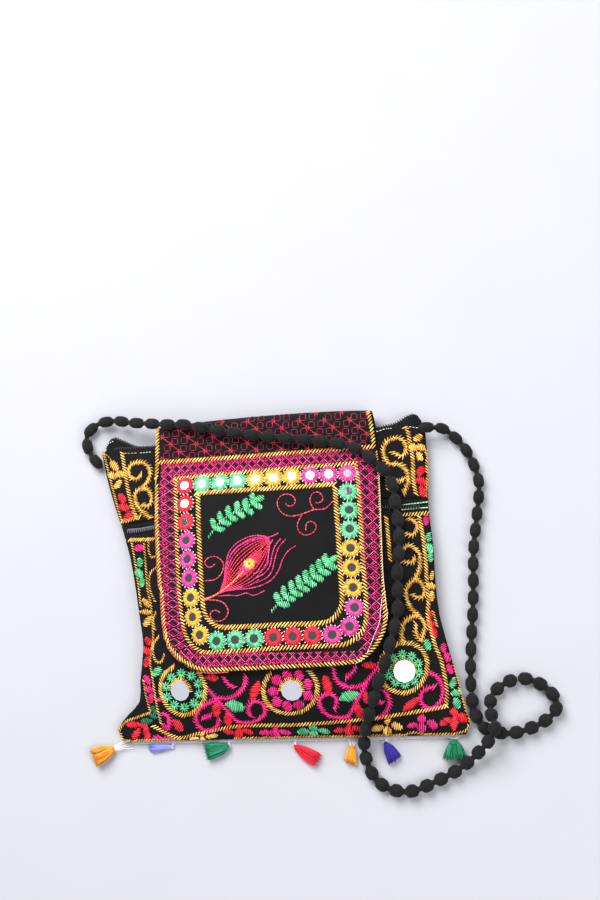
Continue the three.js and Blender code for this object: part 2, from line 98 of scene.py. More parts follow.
# A stitch: shares of its length, how high it lies there, and its width there as a share
STITCH_STATIONS = np.array([0, 0.22, 0.78, 1.0])
STITCH_LIFT = np.array([0.05, 0.42, 0.42, 0.05])
STITCH_TAPER = np.array([0.35, 1, 1, 0.35])
FULL_LIFT = 2  # a stitch shorter than this rises less
THREAD_FLATNESS = 0.72

# Flap needlework, in pixels. Each rope is drawn along its middle.
FLAP_EDGE_PX = [
    (157.5, 429), (157.2, 463), (155.8, 500), (157.6, 555), (160.8, 600), (163, 628), (167.5, 642),
    (176, 654), (189, 664), (205, 669.5), (228, 669), (274, 667), (300, 665.5), (336, 663.5),
    (356, 661), (366, 655.5), (375, 646), (381.5, 635), (385, 622), (384.6, 606), (383, 590),
]
FLAP_SLIVER_PX = [(382.6, 586), (381.3, 560), (380.2, 530), (379.2, 500), (378.2, 470), (376.5, 452)]
FLAP_EDGE_TOP_PX = [(373.8, 447), (371.3, 427), (368.3, 412)]
LOOSE_THREADS_PX = [
    [(381.8, 598.7), (380.4, 612), (379.5, 622), (375, 633.5), (370.4, 645), (367, 653.6)],
    [(357.6, 665.4), (362, 663.5), (367, 659.7)],
]
BAND_ROPE_PX = [(160, 462.5), (205, 459.5), (247, 456.5), (290, 453), (330, 450), (371, 447)]
MIDDLE_ROPE_PX = [
    (175.5, 480), (176, 500), (177, 540), (178.5, 580), (180.5, 604), (182.5, 620), (185.5, 634),
    (191, 644), (199, 650.5), (208, 652.5), (240, 651), (281, 648), (330, 645.7), (346, 644),
    (356, 638), (363, 630), (366, 619), (366, 604), (364.5, 580), (362.5, 558), (360.5, 522),
    (358.8, 496), (357.5, 478), (355.5, 465),
]
MIDDLE_ROPE_TOP_PX = [(174.5, 479), (205, 476), (250, 472), (300, 467.6), (356, 463.3)]
PANEL_ROPE_PX = [
    (198, 495), (198.5, 520), (199.5, 545), (201, 575), (202.5, 600), (205.5, 615), (212, 623),
    (221, 627.3), (240, 627), (281, 625), (318, 623.5), (330, 620.5), (338, 613), (342, 602),
    (341.5, 585), (339.8, 560), (338.3, 536), (336.3, 508), (335, 488),
]
PANEL_ROPE_TOP_PX = [(196.5, 493.5), (230, 491), (285, 487.8), (334.5, 484.3)]
FLAP_PIPING_PX = [(378.6, 470), (380, 500), (381.2, 535), (383, 575), (385.5, 600), (388, 620)]

# Lattice of the flap's border: strips of diamonds, those between them holding a square spiral.
# For each strip: the middle of an empty diamond, the steps to the next one along the strip and
# across it, and by how much more each step along is longer than the last.
LATTICE_PX = dict(
    top=((168.3, 470), (8.4, -0.6), (0.3, 8.4), 0),
    left=((169.3, 469.8), (0.25, 8.4), (12.4, 0.5), 0.072),
    bottom=((220, 659.1), (8.55, -0.38), (0.3, 9.4), 0),
    right=((365, 472.7), (0.45, 9.62), (10.6, 0.3), 0.04),
)
LATTICE_REACH = 24  # steps along a strip, each way
LATTICE_ROWS = (-1, 0, 1)
LATTICE_CUTS = 6  # parts of a stitch that are kept or left out where it crosses a strip's edge
LATTICE_LINE = dict(pitch=3.4, gauge=0.56)
SPIRAL_LINE = dict(pitch=3.4, gauge=0.55)
UNDERLAY_LINE = dict(pitch=6.0, gauge=1.5, sink=0.5)
UNDERLAY = (-0.5, 0.5)  # where the dark stitches under a diamond lie across it
SPIRAL = [(-0.55, 0.8), (-0.55, -0.55), (0.55, -0.55), (0.55, 0.3), (0, 0.3), (0, -0.05)]
LATTICE_MARGIN_PX = 1.6
LATTICE_MITRE = 0.02  # how steeply the side strips give way to the bottom one

# Top band: rows of small stars on slanting lines, each star with two loops.
STARS_PX = dict(origin=(162.5, 437.5), across=(25.6, -0.45), down=(8.6, 7.0), ray=2.9)
STAR_RAYS = 6
STAR_THREAD = 0.46
STAR_ROWS, STAR_COLUMNS = range(-4, 7), range(-3, 11)
FOLD_EDGE_PX = [(157.5, 426.5), (205, 420.6), (257, 416), (311, 411.4), (368.5, 408)]
BAND_INSET = (0.985, 0.97)  # how much of the band the stars take up, across and down
LOOP_OFFSETS_PX = ((3.9, -2.9), (-3.7, 3.7))
LOOP_HALF_PX = 2.95
LOOP = [
    (1, 0.65), (0.6, 1), (-0.7, 1), (-1, 0.7), (-1, -0.6), (-0.65, -1), (0.7, -1), (1, -0.7), (1, 0.65),
]
LOOP_LINE = dict(pitch=4, gauge=0.46)
STAR_LINE = dict(pitch=2.2, gauge=0.42)

# Colours of the mirrors' rings, in the order of the row, from the top left corner
RING_COLOURS = (
    ["scarlet"] + ["mint"] * 3 + ["lemon"] * 3 + ["pink"] * 3 + ["mint"] * 3 + ["lemon"] * 3
    + ["pink"] * 3 + ["scarlet"] * 3 + ["mint"] * 3 + ["lemon"] * 3 + ["pink"] * 3 + ["scarlet"] * 2
)
MIRROR_THICK = 1.0
OVER_MIRROR = MIRROR_THICK / 2 + 0.15  # height of a stitch's inner end over the mirror's middle
SMALL_RING = dict(inner=2.95, outer=6.75, stitches=34, gauge=1.1, rise=OVER_MIRROR)
RING_TIPS = dict(inner=6.2, outer=7.3, stitches=15, gauge=0.7, rise=0.1)
# The large mirrors' stitches stop at lowest, a share of the ring's height
LARGE_RING = dict(inner=6.3, outer=9.4, stitches=40, gauge=0.75, rise=OVER_MIRROR, lowest=-0.15)

# Feather on the flap's panel
FEATHER_STEM_PX = [(203, 600), (214, 596), (226, 588), (237, 578), (246, 569)]
FEATHER_AXIS_PX = [(217, 596), (232, 582), (246, 569), (258, 555.5), (270, 541)]
FEATHER_UPPER_PX = [
    (221.6, 588.6), (224.4, 579), (225.5, 568), (228.7, 553.6), (235, 545), (243.7, 539.3), (253.7, 536),
    (263.7, 536), (269.5, 539),
]
FEATHER_LOWER_PX = [
    (222, 591.5), (238, 589.6), (249.4, 588.6), (260.9, 585.7), (271.6, 580), (278.7, 570.7), (282.3, 560.7),
    (288, 551.4), (296, 546),
]
FEATHER_INNER_PX = [
    (222, 591.5), (238, 589.6), (249.4, 588), (260, 583), (268, 574.5), (272, 564), (272, 552), (270, 541),
]
FEATHER_FREE_PX = [
    [(218, 596.4), (228, 595.4), (238, 595.7), (246.6, 593), (253.7, 595.7), (265, 590.7)],
    [(231.6, 553.6), (241, 545), (251, 540.4), (262.3, 538.6), (272.3, 536.4), (278.7, 533.2)],
    [(256, 583), (266.6, 578), (272.3, 570.7), (275, 559.3), (278.7, 548), (286, 539)],
    [(254, 579), (264, 574), (270, 566), (272.3, 555), (275, 546.4), (281, 538.6)],
    [(253, 574), (262, 570.5), (267.3, 565), (268.7, 553.6), (269.4, 546.4), (273, 539.6)],
]
FEATHER_STRANDS = 8
FEATHER_INNER_STRANDS = 6
FEATHER_PARTED = 5  # from this one on, the lower strands end where the free ones go on
FEATHER_OUTER = 3  # strands at each edge that are paler
FEATHER_POINTS = 60
FEATHER_BARE = 2  # points of each strand left out at the stem
FEATHER_LINE = dict(pitch=1.9, gauge=0.98)
FEATHER_STEM = dict(pitch=1.2, width=1.4, slant=45, gauge=0.88)
FEATHER_FILL_PX = (250, 564, 34, 12, -47)  # columns as for petals
FEATHER_FILL_SINK = 0.4
FEATHER_EYE_PX = (249.3, 564)
FEATHER_HEART_PX = (245.6, 568.8, 7, 5.5, 0)
FEATHER_EYE = dict(inner=0.6, outer=4.6, stitches=24, gauge=0.8, rise=0.15)

# Red curls of the flap's panel, and its two leafy sprays
CURLS_PX = [
    [(205, 581), (216, 579.5), (223, 571), (223, 562), (215, 556.6), (207, 559), (205, 564), (210, 568),
     (215.5, 564)],
    [(205, 600), (217.5, 600.5), (225, 604), (228.5, 611.5), (225, 619), (217.5, 621.5), (211, 618),
     (211, 612.5), (216, 610), (220.5, 613)],
    [(333.5, 501), (325, 509), (314, 510), (303, 514), (292, 516.5), (283, 514), (277.5, 506), (279, 498),
     (285, 494.5), (292, 495.5), (295.5, 500.5), (293.5, 505.5), (288, 506.5), (285.5, 503)],
    [(314, 510), (310, 501.5), (312, 494.5), (317.5, 492), (322, 495.5), (323, 500), (320, 503), (315, 503)],
    [(302, 515), (297.5, 524), (298.5, 531), (305, 535.5), (313, 533), (316.5, 527.5), (314.5, 523),
     (309.5, 521.5), (306, 525), (306, 531)],
]
SPRAY_STEM = dict(pitch=2.05, width=2.0, slant=45, gauge=0.88)
# A leaf's turn from the stem in degrees, and how far out it stands and how long it is against the end leaf
SPRAY_LEAF = dict(turn=48, out=0.55, long=0.9)
# Each spray: its stem, its leaves along each side, and the end leaf's length and width
SPRAYS_PX = [
    ([(209, 537), (219, 524), (232, 514), (246, 508), (259, 499)], 6, 11, 5.6),
    ([(272, 611), (284, 598), (300, 586), (316, 574), (332, 560)], 8, 12, 6),
]

# Body needlework: ropes along the seams and round the panels
BODY_FINE_ROPES_PX = [
    [(103.5, 452), (109, 473), (115, 497), (122, 522)],
    [(131.5, 541), (135, 560), (139, 588), (141, 606)],
    [(144.3, 544), (145.7, 561), (146.4, 572), (147.9, 590), (150.7, 602), (152.2, 614), (152.9, 626),
     (153.4, 640), (151.5, 651), (150.4, 664), (152.5, 676), (156.7, 704), (161, 723)],
    [(148.8, 543), (148.8, 550), (151, 557), (155, 557)],
    [(156, 568), (151, 573), (149.5, 581), (150.6, 591), (155, 601)],
    [(156, 613), (153.5, 620), (155, 629)],
    [(159, 637), (154, 644), (153.6, 655), (157, 662), (162, 661.5), (164.5, 655)],
    [(144, 681), (146, 694), (150, 710)],
    [(150, 713), (136, 718), (126, 722), (119.5, 731), (123, 739), (133, 743), (151, 745), (176, 745)],
    [(234, 739.5), (266, 742), (300, 738.5), (360, 737.8), (396, 737), (412, 732.5), (422.5, 734),
     (438, 736.5), (464, 731.5), (468.5, 726)],
    [(469.5, 722), (466, 706.5), (459.5, 687), (453, 664)],
    [(437, 626), (433, 612)],
    [(425.5, 450.5), (427, 460), (427.5, 471), (427, 481), (426, 496)],
]
BODY_ROPES_PX = [
    [(122, 453), (125, 471), (127, 484), (131, 502), (137, 519)],
    [(153.5, 726), (169, 734.5), (181.5, 738), (202, 733), (240, 726), (300, 724.5), (364, 719.3),
     (408.5, 713), (445.5, 706.5)],
    [(446.5, 706), (446.5, 688), (441.5, 662), (435, 645), (428, 618), (428.3, 601), (427, 585), (425, 555),
     (422, 531), (419, 517)],
    [(406, 426), (408.7, 436), (410.6, 447), (412.5, 458), (413, 471), (413.3, 481), (416, 494)],
    [(130, 540), (142, 540), (154, 539.5)],
    [(403.5, 515), (416, 514), (428, 513)],
    [(122, 522), (130, 520), (140, 517)],
    [(386, 470), (388, 490)],
    [(386, 518), (388, 535), (390, 560)],
]
ROSETTE_ROPES_PX = [
    [(271, 673), (265, 682), (263.5, 692), (267, 702.5), (276, 710.5), (288.7, 713.5), (300, 712),
     (310.3, 705.7), (316, 697.5), (317.6, 688.5), (315, 679), (309, 671)],
    [(384.6, 686), (394, 691), (405, 693), (415, 689), (423.4, 680), (427, 669), (426, 657), (419.5, 647.5),
     (409, 643), (397, 644), (387, 650.5), (381, 661), (380.5, 674), (384.6, 686)],
    [(174, 667), (165, 674), (161, 683), (161, 692), (165, 703), (172, 711), (183, 715), (194, 712),
     (202, 704), (205.5, 694), (205, 684), (199, 673)],
]
GOLD_SCROLLS_PX = [
    [(141.5, 475), (137, 479), (131, 478), (128.5, 472), (131, 465), (138, 462.5), (146, 464), (150.5, 472),
     (148, 481), (142, 488), (136, 492), (135, 500), (139, 508), (145, 514), (151, 518)],
    [(142, 488), (149, 491), (152, 499), (149, 506), (142, 505)],
    [(393, 452), (400.5, 456.5), (405.5, 452.5), (406, 445.5), (401.5, 439), (394.5, 438), (387, 441.7),
     (383, 448.7), (384, 456), (388.5, 464), (398.5, 464), (405, 468.5), (408, 475.5), (407.5, 484),
     (403.5, 493.5)],
    [(396, 482), (403.5, 479.5)],
    [(408, 518.5), (415, 521.5), (417.3, 529), (412, 535), (405, 533.5)],
    [(403.5, 548.5), (408, 545), (415, 548), (419.5, 555), (419.5, 566), (415.5, 578), (408, 585.5),
     (405.5, 595.5), (409.5, 606), (417, 615)],
    [(415, 558.5), (410.5, 563), (403, 561.5)],
    [(417, 579), (422.5, 584.5), (424.5, 592), (422, 597.5), (417, 597.5), (412, 594.5)],
    [(417, 615), (406, 620), (402, 629), (402, 642)],
    [(417, 615), (423, 620), (425, 628), (421, 641)],
    [(415.8, 624), (416, 634), (421, 641)],
]
PINK_SCROLLS_PX = [
    [(206, 687), (217, 699), (228, 711.5), (238, 721.5), (248, 722.5), (259, 719.5), (265.5, 712), (263, 704),
     (256, 701), (250, 704), (248.5, 711), (251, 716)],
    [(217, 700), (207, 704), (198.5, 711), (196, 719), (199.5, 727), (208.5, 730.5), (216.5, 727),
     (220, 719)],
    [(202, 719), (211, 715.5)],
    [(217, 698), (228, 698.5), (238, 694), (244.5, 686), (246, 676)],
    [(223.5, 677), (228, 684), (234, 687.5)],
    [(162, 713), (167.5, 715.7), (170, 721), (168.5, 727)],
    [(333, 668), (335, 677), (341, 684), (350, 687.5), (361, 686), (370, 678), (378, 666)],
    [(356, 666), (352, 673), (346, 678)],
    [(368, 682), (362, 692), (356, 703), (348.5, 717)],
    [(347, 717), (338, 717.5), (328, 715), (321, 708), (319.3, 700.5), (324, 694.5), (331, 694), (336, 698),
     (337, 703), (334.5, 709)],
    [(383, 690), (388, 696), (389.5, 704), (386, 712), (378, 717.5)],
    [(375, 702.5), (383, 702.5)],
    [(429, 672.5), (437, 676.5), (442, 684), (443, 692), (440, 701.5), (432.5, 708.5), (425, 707),
     (420.7, 699.5), (421.5, 693), (427, 688.3), (434.5, 687)],
]

# Satin petals and leaves. Columns: x, y, long, wide, turn (degrees clockwise from the right)
PETALS_PX = dict(
    yellow=[
        (114.5, 466, 11, 6.5, 45), (113.5, 475.5, 11, 6, 0), (120.5, 474, 8, 7, 0), (118, 484.5, 10, 6, 120),
        (146.5, 603, 10, 5.5, 45), (145.5, 612, 11, 5, 0), (147.7, 621.5, 11, 6, 115),
        (413.5, 447.5, 8, 7, 0), (418, 438, 9, 6, 135), (421, 447.5, 8, 7, 0), (419.6, 456.5, 9.5, 5.5, 50),
        (432.3, 575.5, 9, 5, 100), (430.8, 586, 9, 6, 0), (431.8, 596, 10, 5, 85),
        (202, 740, 6, 5, 90), (202, 734.5, 6, 4, 90), (194, 739.5, 10, 4.5, -20), (212, 736, 12, 4.5, -10),
        (387.4, 721, 7, 5, 90), (387.4, 731, 8, 8, 0), (377.6, 728, 12, 6, -20), (397, 726.2, 11, 6.5, 10),
    ],
    scarlet=[
        (122.3, 498.6, 10, 7, 50), (124.3, 507.5, 12, 7.5, -5), (129, 516.3, 11, 7, 118),
        (148.6, 641.6, 8.5, 6, 50), (147.7, 651, 8, 7, 0), (146.7, 662, 10, 5.5, 95),
        (133.4, 724.6, 12, 6, -8), (143.2, 725.5, 9, 4.5, 0), (136.5, 733.5, 12, 6, 118),
        (146.8, 733.5, 13, 6, 75), (178, 725.5, 14, 7, 45), (212, 677.5, 13, 6, 0),
        (216.4, 709.5, 14, 8, 80), (228, 719.3, 13, 7, 75), (255.3, 690.7, 20, 8, 108),
        (238.8, 733.6, 8, 8, 0), (228.5, 731.8, 10, 5, 8), (247.7, 731.3, 11, 5, 15),
        (239.2, 727, 6, 4, 90), (327, 685, 19, 8, 70), (349, 726, 6, 4.5, 90),
        (349, 731.5, 8.5, 7.5, 0), (339.6, 730.2, 11, 4.5, -10), (357, 728.5, 10, 5, 10),
        (366, 697.6, 12, 5.5, 80), (359, 711.4, 15, 8, 60), (369, 665, 14, 7, 0), (411.4, 704, 20, 7, 140),
        (420.5, 471.7, 10, 7, 100), (421, 481.3, 11, 7.5, 10), (422.4, 491.3, 11, 7, 60),
        (430.2, 616, 9, 4.5, 95), (431.5, 624, 9, 6.5, 10), (434, 633, 10, 5.5, 70),
        (454, 712.4, 8, 7, 0), (445.6, 721.6, 12, 6, 145), (454.4, 722.5, 15, 7, 90), (462.5, 718, 10, 8, 30),
    ],
    fuchsia=[
        (139.4, 548, 8.5, 6, -30), (147.4, 680, 10, 5.5, 50), (149.4, 689.3, 8.5, 6.5, 0),
        (151.2, 698.5, 9, 6, 85), (157, 739.8, 10, 7, 5), (168.2, 739.8, 9, 6, 30),
        (159.7, 699.6, 5, 4, -30), (165, 727, 9, 4, 40),
        (275.4, 729, 7, 5, 90), (275.4, 734.8, 9, 8, 0), (265.5, 732.4, 12, 4.5, -5),
        (284.5, 732, 13, 4.5, 8), (379, 702, 9, 4, 0), (426.4, 520.3, 10, 6, 90), (447.5, 657, 9, 7, 45),
        (443.5, 648, 9, 6, 75), (449.8, 669, 10, 6, 60), (421.6, 719, 8, 8, 0), (421.6, 728, 9, 9, 0),
        (412.3, 725.3, 10, 5, -15), (432.2, 724.4, 11, 7.5, 20),
    ],
    mint=[
        (140, 562.7, 9, 6, 75), (139.4, 573.3, 8, 7.5, 0), (142, 582, 10, 5, 85), (157, 671.5, 11, 7, 120),
        (235.2, 706, 19, 9, 10), (313.3, 728, 8, 6, 0), (313.7, 733.2, 8, 5, 0), (303.4, 731.5, 11, 5.5, -10),
        (324, 731, 12, 5, 8), (349, 696.2, 19, 9, -20), (429, 537.2, 9, 6, 90), (429.5, 548, 10, 6, 45),
        (431, 557, 10, 6, 90), (453, 682.8, 11, 5.5, 100), (456, 693, 10, 7, 160), (456.7, 703, 11, 7, 60),
        (427.5, 645, 11, 6, 60),
    ],
    green=[(154.4, 710.5, 9, 4.5, 60), (147, 721, 11, 5, -5), (153.5, 716.2, 9, 4, 25)],
)
# Round knots about the middle mirror. Columns: x, y, turn
ROSETTE_KNOTS_PX = [
    (276.5, 680, 20), (287.2, 675.4, 40), (298.9, 675.2, 60), (307.8, 684, 80), (307.8, 695.5, 30),
    (298.9, 704.6, 0), (287.2, 706, 50), (276.7, 701.3, 70), (273.2, 691.6, 10),
]
KNOT_PX = (10.3, 8.5)  # length and width, as for petals
# Rings of small stars round two of the large mirrors. Columns: x, y, radius across, radius down, stars
STAR_RINGS_PX = [(183, 690.5, 17, 17, 10), (403.5, 669.5, 15.8, 15, 10)]
ROSETTE_STAR = dict(ray=5.2, rays=10, width=1.0)  # ray in pixels
STAR_RING_TURN = 0.35  # where a ring's first star lies, in steps

# Pale teeth at the left end of the mouth's zip, tacking along the mouth, and the pale lines
# beside the pocket's zip
MOUTH_TEETH_PX = [(104, 450), (106, 446), (109.5, 443), (114.5, 441)]
MOUTH_TEETH = dict(pitch=1.9, gauge=0.9, fill=0.45)
TACKING_PX = dict(
    yellow=[[(121, 453.2), (129, 453.4), (138, 453)], [(104, 452.5), (108, 456), (112, 461)]],
    white=[[(140, 453), (152, 452)], [(376, 432), (388, 428), (394, 426)], [(409, 427), (423, 428.5)]],
)
ZIP_LINES_PX = [[(402, 505), (428, 502)], [(401, 510), (428, 507.5)]]

# Strap: the thread's route and the bead's outline, as in the CAD model
STRAP_ROUTE = [
    (-139, 94, 4.6), (-142.8, 98.2, 4.5), (-149.5, 107.7, 4.5), (-151, 119.4, 4.5), (-143.3, 126.9, 5.2),
    (-129.4, 128.5, 8.5), (-115.7, 125.5, 13), (-99.5, 122.8, 18), (-85.7, 120.4, 23), (-70.7, 118.5, 27.6),
    (-58.7, 115.5, 29.3), (-44.1, 112.3, 30), (-19.8, 108, 30), (7, 104.2, 30), (31.5, 101.5, 29),
    (54, 95.7, 27.6), (64, 88.6, 27.7), (74, 79.5, 25.8), (79.3, 69.6, 23.6), (81, 58, 23.6),
    (83.8, 31.7, 26), (82.5, 7, 29), (82.4, -18.8, 30.8), (80.2, -30, 32), (77.6, -40.8, 33.2),
    (74.6, -53, 33.4), (70.1, -64.8, 32.6), (66.6, -75.3, 30.8), (62, -87, 24.7), (57.6, -98.5, 15.4),
    (55.6, -107.5, 8.4), (55.6, -116, 4.8), (61, -130, 4.5), (70, -138.3, 4.5), (86, -141, 4.5),
    (103, -135, 4.5), (121, -125.6, 5), (134.8, -114.3, 9), (142, -106.5, 13.2), (145.5, -98.5, 13.6),
    (142.5, -87, 8.5), (144.5, -76, 4.6), (157, -67, 4.5), (170, -66.5, 4.5), (184, -75.5, 4.5),
    (187.3, -85, 4.5), (180, -93.8, 4.5), (160, -102, 4.5), (147.2, -102, 4.5), (138.6, -99.2, 4.5),
    (133.6, -92.7, 4.5), (131, -85.4, 4.5), (129.5, -67.8, 4.5), (130.2, -46.3, 4.5), (132.8, -9.7, 4.5),
    (134.1, 25.6, 4.5), (137.2, 50.5, 4.5), (138.8, 75.1, 4.5), (130.7, 96.8, 4.5), (122.4, 107, 4.6),
    (114.5, 112.6, 7.2), (109, 112.9, 10), (103.7, 112.6, 12.8), (97.7, 112.8, 13),
]
# Stretches: beads, how far apart they lie against those over the flap, and their half width
STRAP_STRETCHES = dict(
    strap_left=(10, 1.09, 3.9),
    strap_over_flap=(11, 1, 4.0),
    strap_down_front=(15, 1.015, 4.1),
    strap_floor=(11, 0.85, 4.4),
    strap_loop_over=(6, 0.82, 4.4),
    strap_loop_under=(11, 0.85, 4.4),
    strap_right=(18, 0.95, 3.8),
)
# A bead's outline: shares of the way along it, and of its half width
BEAD_SHARES = np.array((0, 0.09, 0.15, 0.24, 0.36, 0.5, 0.64, 0.76, 0.85, 0.91))
BEAD_WIDTHS = np.array((0.4, 0.42, 0.72, 0.93, 1.01, 1.03, 1.01, 0.93, 0.72, 0.42))
BEAD_SIDES = 28
GATHERS = 7  # pleats of the bead's cloth round each neck
GATHER_DEPTH = 0.3
GATHER_FADE = 0.6  # how quickly the pleats fade away from a neck
NECK_GAP = 0.3
FLOOR_GAP = 0.1
ROUTE_STEPS = 32  # between two points of the route

# Tassels. Columns: x, y, heading in degrees, length, width, thread
TASSELS = dict(
    orange_left=(-124, -110.5, 205, 17, 13, "orange"),
    lavender=(-81, -109.5, 183, 17.5, 5, "lavender"),
    green_left=(-40.5, -110, 194, 17.5, 11.5, "green"),
    red=(5.4, -109.6, -31, 20, 9.5, "red"),
    orange_right=(46.5, -109.2, -100, 13, 8, "orange"),
    violet=(69.3, -107.8, -61, 14.5, 9.5, "violet"),
    green_right=(117, -106.2, -88, 14, 15, "green"),
)
TASSEL_FLATTEN = 0.55
TASSEL_THREADS = 150
TASSEL_STATIONS = 7
# Profiles: shares of the length, and of the half width
TASSEL_SPREAD = ([0, 0.14, 0.28, 0.5, 0.85, 1], [0.2, 0.3, 0.55, 0.8, 0.95, 1])
TASSEL_NECK = ([0, 0.14, 0.28], [0.22, 0.33, 0.58])
TASSEL_CUT = (0.8, 0.2)  # shortest thread as a share of the length, and how much longer others are
TASSEL_SWAY = 0.9
TASSEL_BENDS = 1.5  # half waves of a swaying thread
STRAYS = dict(count=14, out=1.3, longer=0.1)  # threads that stand out from the rest
YARN = 0.42  # half width of a tassel's thread
YARN_TAPER = ([0, 0.15, 0.9, 1], [0.8, 1, 1, 0.5])  # shares of its length and of its half width
# start and end: shares of the length; proud: how far it stands off; tall: how much less flat than the threads
BINDING = dict(start=0.1, end=0.24, turns=4, steps=15, gauge=0.34, proud=0.25, tall=1.25)
TIES = (-1, -0.5, 0.1, 0.5, 1)  # which way each white thread that ties a tassel to the braid leans
TIE_GAUGE = 0.204
LEAST_HEIGHT = 0.4  # of bindings and ties over the floor
# A tie's first two points, by the knot. Columns: how far ahead of it, aside as a share of the lean, above it
TIE_STARTS = ((3.4, 1, 0), (0.8, 1.2, 0.5))
TIE_ENDS = (2.4, 4)  # aside as a share of the lean: half way to the hem, and at the hem
BRAID = dict(strands=3, wave=0.75, period=4.6, steps=12, gauge=0.42, rise=0.35, lift=0.3, flatness=0.9)
BRAID_END = 3  # the length of braid that shows where its end is

# Zips
COIL = dict(pitch=1.9, steps=10, wide=1.425, high=0.76, gauge=0.36)
POCKET_STEPS, MOUTH_STEPS = 22, 24  # along a zip
BIN_SLACK = 0.01
ZIP_SPLIT = 8  # steps of the front zip whose teeth show grey, from its left end; the rest is black
MOUTH_EDGE = (0, 1, 0.2)  # the way to the upper edge of the mouth's tapes
MOUTH_INSET = dict(front=(0, 0.6, 0.4), back=(0, 0.6, 0.3))  # from that edge to the teeth

# Threads: deep and light colour, and the record's slot
THREADS = dict(
    yellow=("#C88624", "#FFD06C", "yellow_thread"),
    # golden thread, darker than the yellow partly as painted shade of the body, which lies in shadow
    gold=("#A87422", "#EAB656", "yellow_thread"),
    lemon=("#BC8418", "#F2BA3C", "yellow_thread"),
    scarlet=("#C01222", "#F2303E", "scarlet_thread"),
    crimson=("#9C2440", "#D04C66", "scarlet_thread"),
    cherry=("#BC1C3E", "#E63C5C", "scarlet_thread"),
    garnet=("#7C182E", "#B03852", "scarlet_thread"),
    wine=("#260210", "#440624", "pink_thread"),
    salmon=("#D8643C", "#F8A070", "yellow_thread"),
    plume=("#A8144E", "#E64684", "pink_thread"),
    pink=("#BC2074", "#E4509A", "pink_thread"),
    fuchsia=("#C40E60", "#FF2E8A", "pink_thread"),
    magenta=("#CC0058", "#FF2888", "pink_thread"),
    rose=("#D42472", "#FF66A6", "pink_thread"),
    mint=("#349E60", "#76D298", "mint_thread"),
    green=("#0C5E3E", "#20805C", "green_thread"),
    orange=("#BE6E10", "#E09830", "orange_thread"),
    lavender=("#6668B0", "#8E90D2", "lavender_thread"),
    red=("#AE1326", "#D82438", "red_thread"),
    violet=("#20176C", "#362D96", "violet_thread"),
    white=("#DCDCE2", "#F6F6FA", "white_thread"),
    cord=("#ACACB6", "#CACAD2", "white_thread"),
    coral=("#B43C46", "#D86066", "scarlet_thread"),
    pale=("#C49894", "#E2C8C2", "white_thread"),
    sage=("#84B07C", "#B6D4AA", "mint_thread"),
)


def linear(colour):
    """An sRGB hex colour as linear red, green, blue and alpha."""
    parts = [int(colour[k:k + 2], 16) / 255 for k in (1, 3, 5)]
    return (*[c / 12.92 if c <= 0.04045 else ((c + 0.055) / 1.055) ** 2.4 for c in parts], 1)


def add(tree, kind, inputs=None, **settings):
    """A shader node with its settings. An input is a value, or another node's output."""
    made = tree.nodes.new("ShaderNode" + kind)
    for name, value in settings.items():
        setattr(made, name, value)
    for name, value in (inputs or {}).items():
        if isinstance(value, bpy.types.NodeSocket):
            tree.links.new(value, made.inputs[name])
        else:
            made.inputs[name].default_value = value
    return made


def new_finish(name):
    """An empty material and its node tree."""
    made = bpy.data.materials.new(name)
    made.use_nodes = True
    made.node_tree.nodes.clear()
    return made, made.node_tree


def close_finish(tree, **sockets):
    """Ends a finish with its Principled shader. Names use _ for the spaces in a socket's name."""
    shader = add(tree, "BsdfPrincipled", {k.replace("_", " "): v for k, v in sockets.items()})
    add(tree, "OutputMaterial", {"Surface": shader.outputs["BSDF"]})


# Camera

def photo_camera():
    """The camera's place, and the matrix that turns the bag's axes into the camera's."""
    yaw, pitch = math.radians(YAW_DEG), math.radians(PITCH_DEG)
    back = Vector((math.tan(yaw), -math.tan(pitch), 1)).normalized()
    right = Vector((0, 1, 0)).cross(back).normalized()
    level = Matrix((right, back.cross(right), back))
    aim = Vector(((AIM_PX[0] - IMAGE_PX[0] / 2) / FOCAL_PX, (IMAGE_PX[1] / 2 - AIM_PX[1]) / FOCAL_PX, -1))
    turn = Vector((0, 0, -1)).rotation_difference(aim.normalized()).to_matrix()
    return back * FOCAL_PX * MM_PER_PX, turn @ level


EYE, TO_CAMERA = photo_camera()
CAMERA_AXES = np.array(TO_CAMERA)


def place_camera():
    """Sets the scene's camera at the photograph's."""
    lens = bpy.data.cameras.new("camera")
    lens.sensor_width = SENSOR
    lens.lens = SENSOR * FOCAL_PX / IMAGE_PX[1]
    lens.clip_start, lens.clip_end = 0.01, 50
    made = bpy.data.objects.new("camera", lens)
    made.matrix_world = Matrix.Translation(EYE * METRES) @ TO_CAMERA.transposed().to_4x4()
    bpy.context.scene.collection.objects.link(made)
    bpy.context.scene.camera = made


def sight(pixel):
    """The direction from the camera through a pixel."""
    x, y = pixel
    seen = ((x - IMAGE_PX[0] / 2) / FOCAL_PX, (IMAGE_PX[1] / 2 - y) / FOCAL_PX, -1)
    return Vector(np.array(seen) @ CAMERA_AXES)


# Meshes

